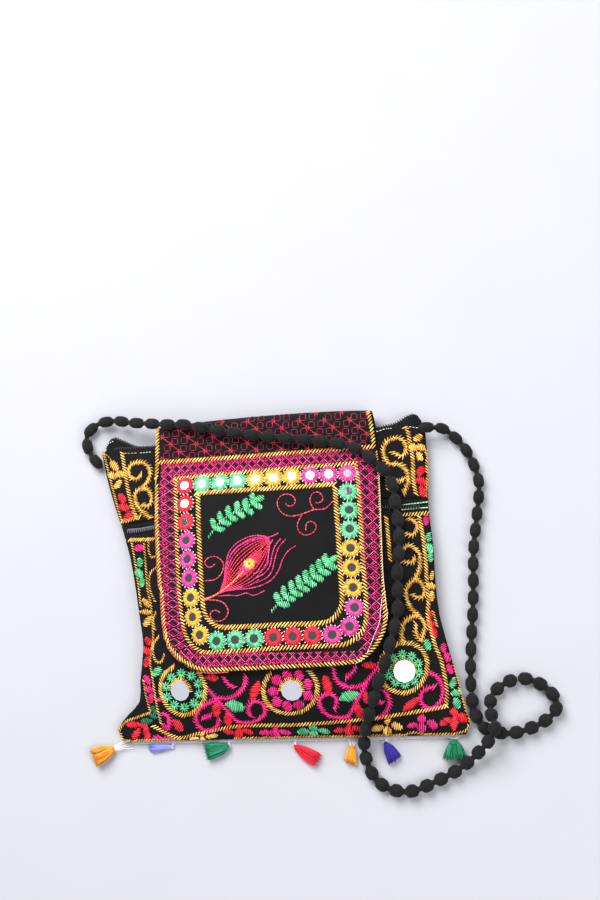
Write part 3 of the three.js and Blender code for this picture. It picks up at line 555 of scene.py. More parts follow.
def quad_mesh(name, points, quads, maps=None, shade=None):
    """A smooth mesh of quads, from points in millimetres, with its UV maps and thread shades."""
    mesh = bpy.data.meshes.new(name)
    mesh.vertices.add(len(points))
    mesh.vertices.foreach_set("co", (np.asarray(points) * METRES).astype(np.float32).ravel())
    mesh.loops.add(quads.size)
    mesh.loops.foreach_set("vertex_index", quads.astype(np.int32).ravel())
    mesh.polygons.add(len(quads))
    mesh.polygons.foreach_set("loop_start", np.arange(0, quads.size, 4, dtype=np.int32))
    mesh.polygons.foreach_set("use_smooth", np.ones(len(quads), bool))
    for title, uv in (maps or {}).items():
        layer = mesh.uv_layers.new(name=title)
        layer.data.foreach_set("uv", uv.astype(np.float32).ravel())
    if shade is not None:
        mesh.attributes.new("shade", "FLOAT", "POINT").data.foreach_set("value", shade.astype(np.float32))
    mesh.update(calc_edges=True)
    mesh.validate()
    return mesh


def unit(vectors):
    """The same directions, one long."""
    return vectors / np.maximum(np.linalg.norm(vectors, axis=-1, keepdims=True), 1e-9)


def run_along(line):
    """How far along a line each of its points lies."""
    return np.concatenate([[0], np.cumsum(np.linalg.norm(np.diff(line, axis=0), axis=1))])


def places(stops, run, values):
    """What a line's points hold, at other distances along it."""
    return np.stack([np.interp(stops, run, column) for column in values.T], 1)


def node_points(node):
    """A CAD node's points in millimetres."""
    return np.array([v.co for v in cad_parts[node].data.vertices]) / METRES


def tube_quads(rings, sides):
    """The quads of a closed tube, and the ring and side that each quad of its wall starts from."""
    ring, side = (g.ravel() for g in np.meshgrid(np.arange(rings - 1), np.arange(sides), indexing="ij"))
    after = (side + 1) % sides
    corners = [ring * sides + side, (ring + 1) * sides + side, (ring + 1) * sides + after,
               ring * sides + after]
    fans = np.array([(0, j, j + 1, j + 2) for j in range(1, sides - 1, 2)])
    return np.concatenate([np.stack(corners, 1), fans, fans[:, ::-1] + (rings - 1) * sides]), ring, side


# Shares of a strand's cell of the bake map: the margin round it, what its wall leaves at each end for a
# cap, and what the cap takes up
BAKE_CELL = dict(margin=0.04, wall=0.1, cap=0.08)
CAP_TWIST = 0.2


def strands(name, paths, half_width, up, sides=4, flatness=THREAD_FLATNESS):
    """Closed thread tubes as one mesh. paths: strands x stations x 3; up: which way each lies."""
    count, stations, _ = paths.shape
    along = unit(np.gradient(paths, axis=1))
    up = np.broadcast_to(up, paths.shape)
    side = unit(np.cross(along, up))
    above = np.cross(side, along)
    half_width = np.broadcast_to(half_width, (count, stations))[:, :, None, None]
    turn = 2 * np.pi * (np.arange(sides) + 0.5) / sides
    ring = (side[:, :, None] * np.cos(turn)[None, None, :, None]
            + above[:, :, None] * np.sin(turn)[None, None, :, None] * flatness)
    points = (paths[:, :, None] + ring * half_width).reshape(-1, 3)

    quads, k, m = tube_quads(stations, sides)
    all_quads = (quads[None] + (np.arange(count) * stations * sides)[:, None, None]).reshape(-1, 4)

    # Each strand has its own cell of the bake map; the twist map runs along and round the thread.
    share = np.concatenate([[0], np.cumsum(np.linalg.norm(np.diff(paths, axis=1), axis=2).mean(0))])
    length = max(share[-1], 1e-6)
    u = np.stack([share[k], share[k + 1], share[k + 1], share[k]], 1)
    v = np.stack([m, m, m + 1, m + 1], 1) / sides
    caps = np.tile(np.array([(0, 0), (1, 0), (1, 1), (0, 1)], float), ((sides - 2) // 2, 1))
    twist = np.concatenate([np.stack([u, v], 2).reshape(-1, 2), caps * CAP_TWIST, caps * CAP_TWIST])
    margin, wall, wide = BAKE_CELL["margin"], BAKE_CELL["wall"], BAKE_CELL["cap"]
    inside = np.stack([wall + (1 - 2 * wall) * u / length, v], 2).reshape(-1, 2)
    cell = np.concatenate([inside, caps * (wide, 1), caps * (wide, 1) + (1 - wide, 0)])
    grid = math.ceil(math.sqrt(count))
    corner = np.stack([np.arange(count) % grid, np.arange(count) // grid], 1)
    bake = (corner[:, None] + margin + (1 - 2 * margin) * cell[None]) / grid
    maps = {"OFBake": bake.reshape(-1, 2), "twist": np.tile(twist, (count, 1))}
    shade = RNG.random(count)
    return quad_mesh(name, points, all_quads, maps, np.repeat(shade, stations * sides))


def piece(name, mesh, finish, slot, *stands_for):
    """Adds a mesh to the bag: it rides on the one body and takes the given finish. slot is not used."""
    mesh.materials.clear()
    mesh.materials.append(finish)
    made = bpy.data.objects.new(name, mesh)
    bpy.context.scene.collection.objects.link(made)
    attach(made, "root")
    if stands_for:
        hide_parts(*stands_for)
    return made


# Finishes

def thread_finish(name, deep, light):
    """Rayon embroidery thread: smooth plied filament, so a soft shine and shades along the twist."""
    made, tree = new_finish(name)
    shade = add(tree, "Attribute", attribute_name="shade")
    colour = add(tree, "Mix", {"Factor": shade.outputs["Fac"], "A": linear(deep), "B": linear(light)},
                 data_type="RGBA")
    lie = add(tree, "UVMap", uv_map="twist")
    ply = 0.9  # real plies are finer; this is as fine as a close render shows
    twist = add(tree, "TexWave", {"Vector": lie.outputs["UV"], "Scale": 2 * math.pi / ply / 10,
                                  "Distortion": 0.6}, bands_direction="DIAGONAL")
    bump = add(tree, "Bump", {"Height": twist.outputs["Fac"], "Strength": 0.25, "Distance": 0.0002})
    close_finish(tree, Base_Color=colour.outputs["Result"], Normal=bump.outputs["Normal"], Roughness=0.45,
                 Specular_IOR_Level=0.2, Sheen_Weight=0.02, Sheen_Roughness=0.4)
    return made


def woven_finish(name, deep, light, thread, fade, sheen):
    """Plain woven cotton: matt, crossing threads, faintly paler in patches about fade wide."""
    made, tree = new_finish(name)
    place = add(tree, "TexCoord").outputs["Object"]
    bands = {"Vector": place, "Scale": math.pi / (thread * METRES) / 10, "Distortion": 0.4, "Detail": 1.0}
    waves = [add(tree, "TexWave", bands, bands_direction=way).outputs["Fac"] for way in "XY"]
    weave = add(tree, "Math", {0: waves[0], 1: waves[1]}, operation="MULTIPLY")
    rub = add(tree, "TexNoise", {"Vector": place, "Scale": 1 / (fade * METRES), "Detail": 4.0,
                                 "Roughness": 0.6})
    both = add(tree, "Math", {0: weave.outputs["Value"], 1: 0.35, 2: rub.outputs["Fac"]},
               operation="MULTIPLY_ADD")
    spread = add(tree, "MapRange", {"Value": both.outputs["Value"], "From Min": 0.3, "From Max": 0.95})
    colour = add(tree, "Mix", {"Factor": spread.outputs["Result"], "A": linear(deep), "B": linear(light)},
                 data_type="RGBA")
    bump = add(tree, "Bump", {"Height": both.outputs["Value"], "Strength": 0.35, "Distance": 0.0004})
    close_finish(tree, Base_Color=colour.outputs["Result"], Normal=bump.outputs["Normal"], Roughness=0.85,
                 Specular_IOR_Level=0.13, Sheen_Weight=sheen, Sheen_Roughness=0.5)
    return made


def mirror_finish():
    """Thin silvered glass cut by hand: a clear reflection with a faint waviness."""
    made, tree = new_finish("silvered_mirror_glass")
    place = add(tree, "TexCoord").outputs["Object"]
    ripple = add(tree, "TexNoise", {"Vector": place, "Scale": 1 / (5 * METRES), "Detail": 1.0})
    bump = add(tree, "Bump", {"Height": ripple.outputs["Fac"], "Strength": 0.12, "Distance": 0.0005})
    close_finish(tree, Base_Color=linear("#E9EAF2"), Normal=bump.outputs["Normal"], Metallic=1.0,
                 Roughness=0.06)
    return made


def nylon_finish(name, deep, light):
    """Moulded nylon of a zip's coil: a dull plastic shine."""
    made, tree = new_finish(name)
    place = add(tree, "TexCoord").outputs["Object"]
    shade = add(tree, "TexNoise", {"Vector": place, "Scale": 1 / (3 * METRES)})
    colour = add(tree, "Mix", {"Factor": shade.outputs["Fac"], "A": linear(deep), "B": linear(light)},
                 data_type="RGBA")
    close_finish(tree, Base_Color=colour.outputs["Result"], Roughness=0.38, IOR=1.53)
    return made


def floor_finish():
    """Matt white paper sweep, a little blue in its shade."""
    made, tree = new_finish("white_paper_sweep")
    place = add(tree, "TexCoord").outputs["Object"]
    grain = add(tree, "TexNoise", {"Vector": place, "Scale": 1 / (60 * METRES), "Detail": 3.0})
    colour = add(tree, "Mix", {"Factor": grain.outputs["Fac"], "A": linear("#A1A1A6"),
                               "B": linear("#A4A4A9")}, data_type="RGBA")
    close_finish(tree, Base_Color=colour.outputs["Result"], Roughness=0.8, Specular_IOR_Level=0.2)
    return made


THREAD_FINISH = {name: thread_finish(f"{name}_rayon_thread", deep, light)
                 for name, (deep, light, _) in THREADS.items()}
COTTON = woven_finish("black_plain_weave_cotton", "#060506", "#0F0E0F", thread=1.3, fade=26, sheen=0.02)
BEAD_COTTON = woven_finish("charcoal_gathered_cotton", "#0D0D0E", "#1C1B1C", thread=1.1, fade=9, sheen=0.05)
TAPE = woven_finish("black_woven_zip_tape", "#08080B", "#131317", thread=0.9, fade=12, sheen=0.02)
COIL_NYLON = nylon_finish("grey_nylon_zip_coil", "#3A3B46", "#8A8B98")
DARK_NYLON = nylon_finish("black_nylon_zip_coil", "#121216", "#24242A")
MIRROR = mirror_finish()


# Cloth

def creased(points):
    """Soft creases of handled cloth. Points near the floor stay, so the flat back does."""
    moved = points.copy()
    free = np.clip((points[:, 2] - CREASE_START) / (CREASE_FULL - CREASE_START), 0, 1)
    for wave, height in CREASES:
        swell = [noise.noise((x / wave, y / wave, wave)) for x, y in points[:, :2]]
        moved[:, 2] += np.array(swell) * height * free
    return moved


def cloth_wall(node):
    """A welded, finer copy of a cloth wall, with its facets smoothed away and soft creases."""
    shape = bmesh.new()
    shape.from_mesh(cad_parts[node].data)
    bmesh.ops.remove_doubles(shape, verts=shape.verts, dist=WELD * METRES)
    bmesh.ops.join_triangles(shape, faces=shape.faces, angle_face_threshold=math.radians(FLAT_DEG),
                             angle_shape_threshold=math.radians(SQUARE_DEG))
    bmesh.ops.subdivide_edges(shape, edges=shape.edges, cuts=FINER_CUTS, use_grid_fill=True)
    for factor in (SMOOTH_IN, SMOOTH_OUT) * SMOOTHINGS:
        bmesh.ops.smooth_vert(shape, verts=shape.verts, factor=factor, use_axis_x=True, use_axis_y=True,
                              use_axis_z=True)
    bmesh.ops.recalc_face_normals(shape, faces=shape.faces)
    points = creased(np.array([v.co for v in shape.verts]) / METRES) * METRES
    for vert, point in zip(shape.verts, points):
        vert.co = point
    for face in shape.faces:
        face.smooth = True
    mesh = bpy.data.meshes.new(node + "_cloth")
    shape.to_mesh(mesh)
    shape.free()
    return mesh


def surface(*meshes):
    """A search tree over cloth, in millimetres."""
    points, faces = [], []
    for mesh in meshes:
        first = len(points)
        points += [v.co / METRES for v in mesh.vertices]
        faces += [[first + k for k in p.vertices] for p in mesh.polygons]
    return BVHTree.FromPolygons(points, faces)


# Laying stitches

def smooth_line(pixels, step=0.5):
    """A smooth line through chosen pixels."""
    p = np.array(pixels, float)
    p = np.concatenate([[2 * p[0] - p[1]], p, [2 * p[-1] - p[-2]]])
    line = []
    for a, b, c, d in zip(p, p[1:], p[2:], p[3:]):
        t = np.arange(0, 1, step / max(np.linalg.norm(c - b), step))[:, None]
        line.append(0.5 * (2 * b + (c - a) * t + (2 * a - 5 * b + 4 * c - d) * t ** 2
                           + (3 * b - a - 3 * c + d) * t ** 3))
    return np.concatenate([*line, p[-2:-1]])


INWARDS_PX = np.array((285, 585))  # the middle of the bag
MOST_INWARDS_PX = 9


def cast(pixels, cloth):
    """Where pixels fall on cloth, and the cloth's normals. One just past an edge is drawn inwards."""
    points, normals = [], []
    for pixel in np.asarray(pixels, float):
        aim = pixel.copy()
        inwards = unit(INWARDS_PX - pixel)
        point = None
        while point is None and np.linalg.norm(aim - pixel) < MOST_INWARDS_PX:
            point, normal, _, _ = cloth.ray_cast(EYE, sight(aim))
            aim = aim + inwards
        if point is not None:
            points.append(point)
            normals.append(normal)
    return np.array(points), np.array(normals)


def spaced(points, normals, pitch):
    """Even places along a line on cloth: points, directions and normals."""
    run = run_along(points)
    stops = np.linspace(0, run[-1], max(2, round(run[-1] / pitch) + 1))
    at = places(stops, run, points)
    up = unit(places(stops, run, normals))
    return at, unit(np.gradient(at, axis=0)), up


SEWN = {}


def sew(name, thread, start, end, up, width):
    """Keeps stitches for the piece that gathers all of one name and thread."""
    width = np.broadcast_to(width, len(start))
    SEWN.setdefault((name, thread), []).append((np.asarray(start), np.asarray(end), np.asarray(up), width))


def rope_line(name, thread, pixels, cloth, pitch, width, slant, gauge, uneven=UNEVEN):
    """Slanting stitches side by side along a line, as in a rope border."""
    points, normals = cast(smooth_line(pixels), cloth)
    at, along, up = spaced(points, normals, pitch)
    side = np.cross(up, along)
    lengths = 1 + uneven * (RNG.random((2, len(at), 1)) - 0.5)
    reach = (side + along / math.tan(math.radians(slant))) * width / 2
    sew(name, thread, at - reach * lengths[0], at + reach * lengths[1], up, gauge)


def run_line(name, thread, pixels, cloth, pitch, gauge, smooth=True, fill=1.0, sink=0.0, aside=0.0):
    """Running stitches along a line or aside from it. fill: share of each step; sink: how deep they lie."""
    line = smooth_line(pixels) if smooth else np.array(pixels, float)
    points, normals = cast(line, cloth)
    if len(points) < 2:
        return
    at, along, up = spaced(points, normals, pitch)
    at = at - up * sink + np.cross(up, along) * aside
    sew(name, thread, at[:-1], at[:-1] + (at[1:] - at[:-1]) * fill, unit(up[:-1] + up[1:]), gauge)


def petal(name, thread, cloth, x, y, long, wide, turn, lean=SATIN_LEAN, sink=0.0):
    """A satin-stitched petal: stitches across it, side by side, leaning a little."""
    tip = np.array((math.cos(math.radians(turn)), math.sin(math.radians(turn))))
    across = np.array((-tip[1], tip[0]))
    long, wide = long * PETAL_GROWTH["long"], wide * PETAL_GROWTH["wide"]
    stitches = max(PETAL_LEAST, round(long * MM_PER_PX / SATIN_PITCH))
    share = (np.arange(stitches) + 0.5) / stitches * 2 - 1
    half = wide / 2 * (1 - share ** 2) ** PETAL_ROUNDNESS
    half = half * (1 + SATIN_UNEVEN * (RNG.random(stitches) - 0.5))
    slope = across + tip * math.tan(math.radians(lean))
    middle = np.array((x, y)) + share[:, None] * tip * (long / 2)
    for centre, reach in zip(middle, half):
        points, normals = cast([centre - slope * reach, centre + slope * reach], cloth)
        if len(points) == 2:
            points = points - normals * sink
            sew(name, thread, points[:1], points[1:], unit(normals.mean(0, keepdims=True)), SATIN_THREAD)


def star(name, thread, cloth, x, y, ray, rays, width, turn=0.0):
    """A small star of straight stitches out of one hole."""
    angles = turn + 2 * np.pi * np.arange(rays) / rays
    ends = np.array((x, y)) + ray * np.stack([np.cos(angles), np.sin(angles)], 1)
    hub = np.array((x, y)) + STAR_HUB * (ends - (x, y))
    for a, b in zip(hub, ends):
        points, normals = cast([a, b], cloth)
        if len(points) == 2:
            sew(name, thread, points[:1], points[1:], unit(normals.mean(0, keepdims=True)), width)


def ring(name, thread, cloth, centre, normal, inner, outer, stitches, gauge, rise, lowest=-1.0):
    """Stitches from over a mirror's rim out to the cloth, round the part of it that is above lowest."""
    out = unit(np.cross((0, 1, 0), normal))
    up = np.cross(normal, out)
    angles = 2 * np.pi * (np.arange(stitches) + RNG.random(stitches) * RING_UNEVEN["turn"]) / stitches
    spoke = np.cos(angles)[:, None] * out + np.sin(angles)[:, None] * up
    spoke = spoke[np.sin(angles) >= lowest]
    start = centre + spoke * inner + normal * rise
    reach = outer * (1 + RING_UNEVEN["reach"] * (RNG.random((len(spoke), 1)) - 0.5))
    end = np.array([cloth.find_nearest(Vector(p))[0] for p in centre + spoke * reach])
    sew(name, thread, start, end, np.broadcast_to(normal, start.shape), gauge)


def within(points, outline):
    """Which pixels lie inside a closed outline."""
    x, y = np.asarray(points, float).T
    inside = np.zeros(len(x), bool)
    for (ax, ay), (bx, by) in zip(outline, np.roll(outline, -1, axis=0)):
        crosses = (ay > y) != (by > y)
        slope = (bx - ax) * (y - ay) / np.where(by == ay, 1, by - ay) + ax
        inside ^= crosses & (x < slope)
    return inside


def mirror_facts(node):
    """A mirror's middle and the way it faces."""
    points = node_points(node)
    centre = (points.min(0) + points.max(0)) / 2
    facing = np.linalg.svd(points - points.mean(0))[2][2]
    return centre, facing * np.sign(facing[2])


# Flap needlework

def flap_ropes(flap):
    """Ropes round the flap, its border and its panel, with the piping at the edge and loose threads."""
    for line in (FLAP_EDGE_PX, FLAP_EDGE_TOP_PX):
        rope_line("flap_ropes", "yellow", line, flap, **EDGE_ROPE)
    rope_line("flap_ropes", "yellow", FLAP_SLIVER_PX, flap, **EDGE_SLIVER)
    for line in (BAND_ROPE_PX, MIDDLE_ROPE_PX, MIDDLE_ROPE_TOP_PX):
        rope_line("flap_ropes", "yellow", line, flap, **MIDDLE_ROPE)
    for line in (PANEL_ROPE_PX, PANEL_ROPE_TOP_PX):
        rope_line("flap_ropes", "yellow", line, flap, **PANEL_ROPE)
    run_line("flap_piping", "pale", FLAP_PIPING_PX, flap, **RUN)
    run_line("flap_piping", "coral", FLAP_EDGE_PX[LINED], flap, **LINING)
    for line in LOOSE_THREADS_PX:
        run_line("loose_threads", "white", line, flap, **FINE_RUN)


def lattice_side(points):
    """Which strip of the border each pixel is in."""
    x, y = np.asarray(points).T
    (left, left_y), (right, right_y) = MIDDLE_ROPE_TOP_PX[0], MIDDLE_ROPE_TOP_PX[-1]
    top = y < left_y + (right_y - left_y) * (x - left) / (right - left)
    bottom = y > max(p[1] for p in MIDDLE_ROPE_PX) - abs(x - AIM_PX[0]) * LATTICE_MITRE
    sides = np.where(x < AIM_PX[0], "left", "right")
    return np.where(top, "top", np.where(bottom, "bottom", sides))


def flap_lattice(flap):
    """Diamonds clipped to the border between the outer rope and the middle one."""
    outer = np.array(BAND_ROPE_PX + FLAP_SLIVER_PX[::-1] + FLAP_EDGE_PX[:1:-1])
    inner = np.array(MIDDLE_ROPE_TOP_PX + MIDDLE_ROPE_PX[::-1])
    middle = outer.mean(0)
    outer = middle + (outer - middle) * (1 - 2 * LATTICE_MARGIN_PX / np.ptp(outer, axis=0))
    inner = middle + (inner - middle) * (1 + 2 * LATTICE_MARGIN_PX / np.ptp(inner, axis=0))

    def clipped(strip, a, b, thread, size):
        pieces = np.linspace(a, b, LATTICE_CUTS + 1)
        middles = (pieces[1:] + pieces[:-1]) / 2
        keep = within(middles, outer) & ~within(middles, inner) & (lattice_side(middles) == strip)
        if keep.any():
            kept = np.flatnonzero(keep)
            ends = [pieces[kept[0]], pieces[kept[-1] + 1]]
            run_line("flap_lattice", thread, ends, flap, smooth=False, **size)

    for strip, (origin, along, across, longer) in LATTICE_PX.items():
        along, across = np.array(along), np.array(across)
        for step in range(-LATTICE_REACH, LATTICE_REACH):
            stretched = step + longer / 2 * step * abs(step) / np.linalg.norm(along)
            for row in LATTICE_ROWS:
                for spiral in (0, 1):
                    centre = origin + along * (stretched + spiral / 2) + across * (row + spiral / 2)
                    upright = strip in ("left", "right")
                    sideways, downwards = (across, along) if upright else (along, across)
                    falling, rising = (sideways + downwards) / 4, (sideways - downwards) / 4
                    for part in UNDERLAY:
                        side = centre + rising * part
                        clipped(strip, side - falling, side + falling, "wine", UNDERLAY_LINE)
                    top = centre - falling + rising
                    clipped(strip, top, top + 2 * falling, "rose", LATTICE_LINE)
                    clipped(strip, top - 2 * rising, top, "rose", LATTICE_LINE)
                    if spiral:
                        corners = [centre + falling * a + rising * b for a, b in SPIRAL]
                        for a, b in zip(corners, corners[1:]):
                            clipped(strip, a, b, "magenta", SPIRAL_LINE)


def flap_stars(flap):
    """Stars on slanting lines over the top band, down to its rope."""
    band = np.array(FOLD_EDGE_PX + FLAP_EDGE_TOP_PX[1::-1] + BAND_ROPE_PX[::-1])
    band = band.mean(0) + (band - band.mean(0)) * BAND_INSET
    origin, across, down = (np.array(STARS_PX[key]) for key in ("origin", "across", "down"))
    loop = LOOP_HALF_PX * np.array(LOOP)
    for row in STAR_ROWS:
        for column in STAR_COLUMNS:
            at = origin + across * column + down * row
            loops = [at + offset for offset in LOOP_OFFSETS_PX]
            star_fits, line_fits, *loops_fit = within([at, at + down / 2, *loops], band)
            if star_fits:
                star("flap_stars", "cherry", flap, *at, STARS_PX["ray"], STAR_RAYS, STAR_THREAD)
            if star_fits and line_fits:
                run_line("flap_stars", "cherry", [at, at + down], flap, smooth=False, **STAR_LINE)
            for middle, fits in zip(loops, loops_fit):
                if fits:
                    for side in zip(middle + loop, middle + loop[1:]):
                        run_line("flap_stars", "garnet", side, flap, smooth=False, **LOOP_LINE)


def flap_rings(flap):
    """Buttonhole rings that hold the row of small mirrors, with pale tips all round."""
    for k, thread in enumerate(RING_COLOURS):
        centre, facing = mirror_facts(f"mirror_small_{k + 1:02d}")
        ring("flap_rings", thread, flap, centre, facing, **SMALL_RING)
        ring("flap_rings", "white", flap, centre, facing, **RING_TIPS)


def spread_even(line, count):
    """The same line with its points evenly apart."""
    run = run_along(line)
    return places(np.linspace(0, run[-1], count), run, line)


def feather(flap):
    """A plume of chain-stitched strands that run from its stem past an eye, filled in at its middle."""
    petal("feather", "cherry", flap, *FEATHER_FILL_PX, lean=0, sink=FEATHER_FILL_SINK)
    axis, upper, inner = (spread_even(smooth_line(p), FEATHER_POINTS)
                          for p in (FEATHER_AXIS_PX, FEATHER_UPPER_PX, FEATHER_INNER_PX))
    run_line("feather", "plume", FEATHER_LOWER_PX, flap, **FEATHER_LINE)
    # Columns: edge, strands from the axis to it, the last of them that is sewn, and the first that ends early
    for edge, count, last, parted in (
        (upper, FEATHER_STRANDS, FEATHER_STRANDS, FEATHER_STRANDS + 1),
        (inner, FEATHER_INNER_STRANDS, FEATHER_INNER_STRANDS - 1, FEATHER_PARTED),
    ):
        for k in range(1, last + 1):
            thread = "plume" if k > count - FEATHER_OUTER else "cherry"
            stop = len(axis) // 2 if k >= parted else len(axis)
            strand = axis + (edge - axis) * k / count
            run_line("feather", thread, strand[FEATHER_BARE:stop], flap, smooth=False, **FEATHER_LINE)
    for line in FEATHER_FREE_PX:
        run_line("feather", "plume", line, flap, **FEATHER_LINE)
    rope_line("feather", "salmon", FEATHER_STEM_PX, flap, **FEATHER_STEM)
    eye, facing = cast([FEATHER_EYE_PX], flap)
    ring("feather", "yellow", flap, eye[0], facing[0], **FEATHER_EYE)
    petal("feather", "pink", flap, *FEATHER_HEART_PX, lean=0)


def sprays(flap):
    """Leafy sprays in satin stitch: pairs of leaves up a stem, with one at its tip."""
    for stem, pairs, long, wide in SPRAYS_PX:
        rope_line("sprays", "mint", stem, flap, **SPRAY_STEM)
        line = spread_even(smooth_line(stem), pairs + 2)
        for before, at, after in zip(line, line[1:], line[2:]):
            heading = math.degrees(math.atan2(*(after - before)[::-1]))
            for side in (-1, 1):
                turn = heading + side * SPRAY_LEAF["turn"]
                out = np.array((math.cos(math.radians(turn)), math.sin(math.radians(turn))))
                centre = at + out * long * SPRAY_LEAF["out"]
                petal("sprays", "mint", flap, *centre, long * SPRAY_LEAF["long"], wide, turn,
                      lean=SATIN_LEAN * side)
        petal("sprays", "mint", flap, *line[-1], long, wide, heading)


def flap_needlework(flap):
    flap_ropes(flap)
    flap_lattice(flap)
    flap_stars(flap)
    flap_rings(flap)
    feather(flap)
    for line in CURLS_PX:
        run_line("curls", "crimson", line, flap, **CHAIN)
    sprays(flap)


# Body needlework

def body_needlework(body):
    """Ropes along the seams, scrolls, flowers, and what stands round the three large mirrors."""
    # The gold thread used here and below is darkened partly as painted shade of the body.
    for line in BODY_FINE_ROPES_PX:
        rope_line("body_ropes", "gold", line, body, **FINE_ROPE)
    for line in BODY_ROPES_PX:
        rope_line("body_ropes", "yellow", line, body, **BODY_ROPE)
    for line in ROSETTE_ROPES_PX:
        rope_line("body_ropes", "yellow", line, body, **ROSETTE_ROPE)
    for thread, lines in (("gold", GOLD_SCROLLS_PX), ("fuchsia", PINK_SCROLLS_PX)):
        for line in lines:
            run_line("scrolls", thread, line, body, **SCROLL_CORE)
            rope_line("scrolls", thread, line, body, **SCROLL)
    for thread, rows in PETALS_PX.items():
        for row in rows:
            petal("flowers", thread, body, *row, lean=0 if row[2] == row[3] else SATIN_LEAN)
    for x, y, turn in ROSETTE_KNOTS_PX:
        petal("rosettes", "fuchsia", body, x, y, *KNOT_PX, turn, lean=0)
    for x, y, across, down, stars in STAR_RINGS_PX:
        for k in range(stars):
            angle = 2 * math.pi * (k + STAR_RING_TURN) / stars
            star("rosettes", "mint", body, x + across * math.cos(angle), y + down * math.sin(angle),
                 turn=angle, **ROSETTE_STAR)
    for side in ("left", "centre", "right"):
        centre, facing = mirror_facts(f"mirror_large_{side}")
        ring("rosettes", "gold", body, centre, facing, **LARGE_RING)


def sewn_pieces():
    """One piece for each kind of needlework and colour of thread."""
    for (name, thread), lots in SEWN.items():
        start, end, up, width = (np.concatenate(part) for part in zip(*lots))
        share = STITCH_STATIONS[None, :, None]
        rise = np.minimum(1, np.linalg.norm(end - start, axis=1) / FULL_LIFT)[:, None, None]
        lift = STITCH_LIFT[None, :, None] * rise
        paths = start[:, None] + (end - start)[:, None] * share + up[:, None] * lift
        half = STITCH_TAPER[None] * width[:, None] / 2
        mesh = strands(f"{name}_{thread}", paths, half, up[:, None])
        piece(f"{name}_{thread}", mesh, THREAD_FINISH[thread], THREADS[thread][2])


# Strap

def thread_route():
    """Places along the strap's thread at a fine step: a centripetal smooth curve."""
    p = np.array(STRAP_ROUTE, float)
    p = np.concatenate([[2 * p[0] - p[1]], p, [2 * p[-1] - p[-2]]])
    line = []
    for a, b, c, d in zip(p, p[1:], p[2:], p[3:]):
        ab, bc, cd = (np.sqrt(np.linalg.norm(v)) for v in (b - a, c - b, d - c))
        start = ((b - a) / ab - (c - a) / (ab + bc) + (c - b) / bc) * bc
        stop = ((c - b) / bc - (d - b) / (bc + cd) + (d - c) / cd) * bc
        t = np.linspace(0, 1, ROUTE_STEPS + 1)[:-1, None]
        line.append(b + start * t + (3 * (c - b) - 2 * start - stop) * t ** 2
                    + (2 * (b - c) + start + stop) * t ** 3)
    return np.concatenate([*line, p[-2:-1]])


def strap():
    """Cloth-covered beads: a gathered sleeve round each bead, pleated at the necks between them."""
    route = thread_route()
    run = run_along(route)
    spacing = run[-1] / sum(count * apart for count, apart, _ in STRAP_STRETCHES.values())
    turn = 2 * np.pi * np.arange(BEAD_SIDES) / BEAD_SIDES
    reached = 0
    for name, (count, apart, half) in STRAP_STRETCHES.items():
        shares = np.append((np.arange(count)[:, None] + BEAD_SHARES).ravel(), count)
        radii = half * np.append(np.tile(BEAD_WIDTHS, count), BEAD_WIDTHS[0])
        stops = reached + shares * apart * spacing
        reached = stops[-1]
        stops[0] += NECK_GAP / 2
        stops[-1] -= NECK_GAP / 2
        centre = places(stops, run, route)
        ahead = places(stops + 1, run, route) - places(stops - 1, run, route)
        side = unit(np.cross(ahead, UP))
        above = np.cross(side, unit(ahead))
        swing = RNG.random(count + 1)[np.floor(shares).astype(int)] * 2 * np.pi
        pleat = np.cos(GATHERS * turn[None] + swing[:, None])
        tight = np.clip((half - radii) / (half - radii[0]), 0, 1) ** GATHER_FADE
        radius = radii[:, None] * (1 + GATHER_DEPTH / 2 * tight[:, None] * pleat)
        points = (centre[:, None] + side[:, None] * (radius * np.cos(turn))[..., None]
                  + above[:, None] * (radius * np.sin(turn))[..., None])
        points[..., 2] = np.maximum(points[..., 2], FLOOR_GAP)
        quads, _, _ = tube_quads(len(stops), BEAD_SIDES)
        mesh = quad_mesh(name, points.reshape(-1, 3), quads)
        made = piece(name + "_beads", mesh, BEAD_COTTON, "bead_cloth", name)
        soft = made.modifiers.new("round", "SUBSURF")
        soft.levels = soft.render_levels = 1


# Tassels

def braid_ends():
    """The two ends of the braid's middle line."""
    points = node_points("tassel_braid")
    near, far = points[:, 0].min() + BRAID_END, points[:, 0].max() - BRAID_END
    return points[points[:, 0] < near].mean(0), points[points[:, 0] > far].mean(0)


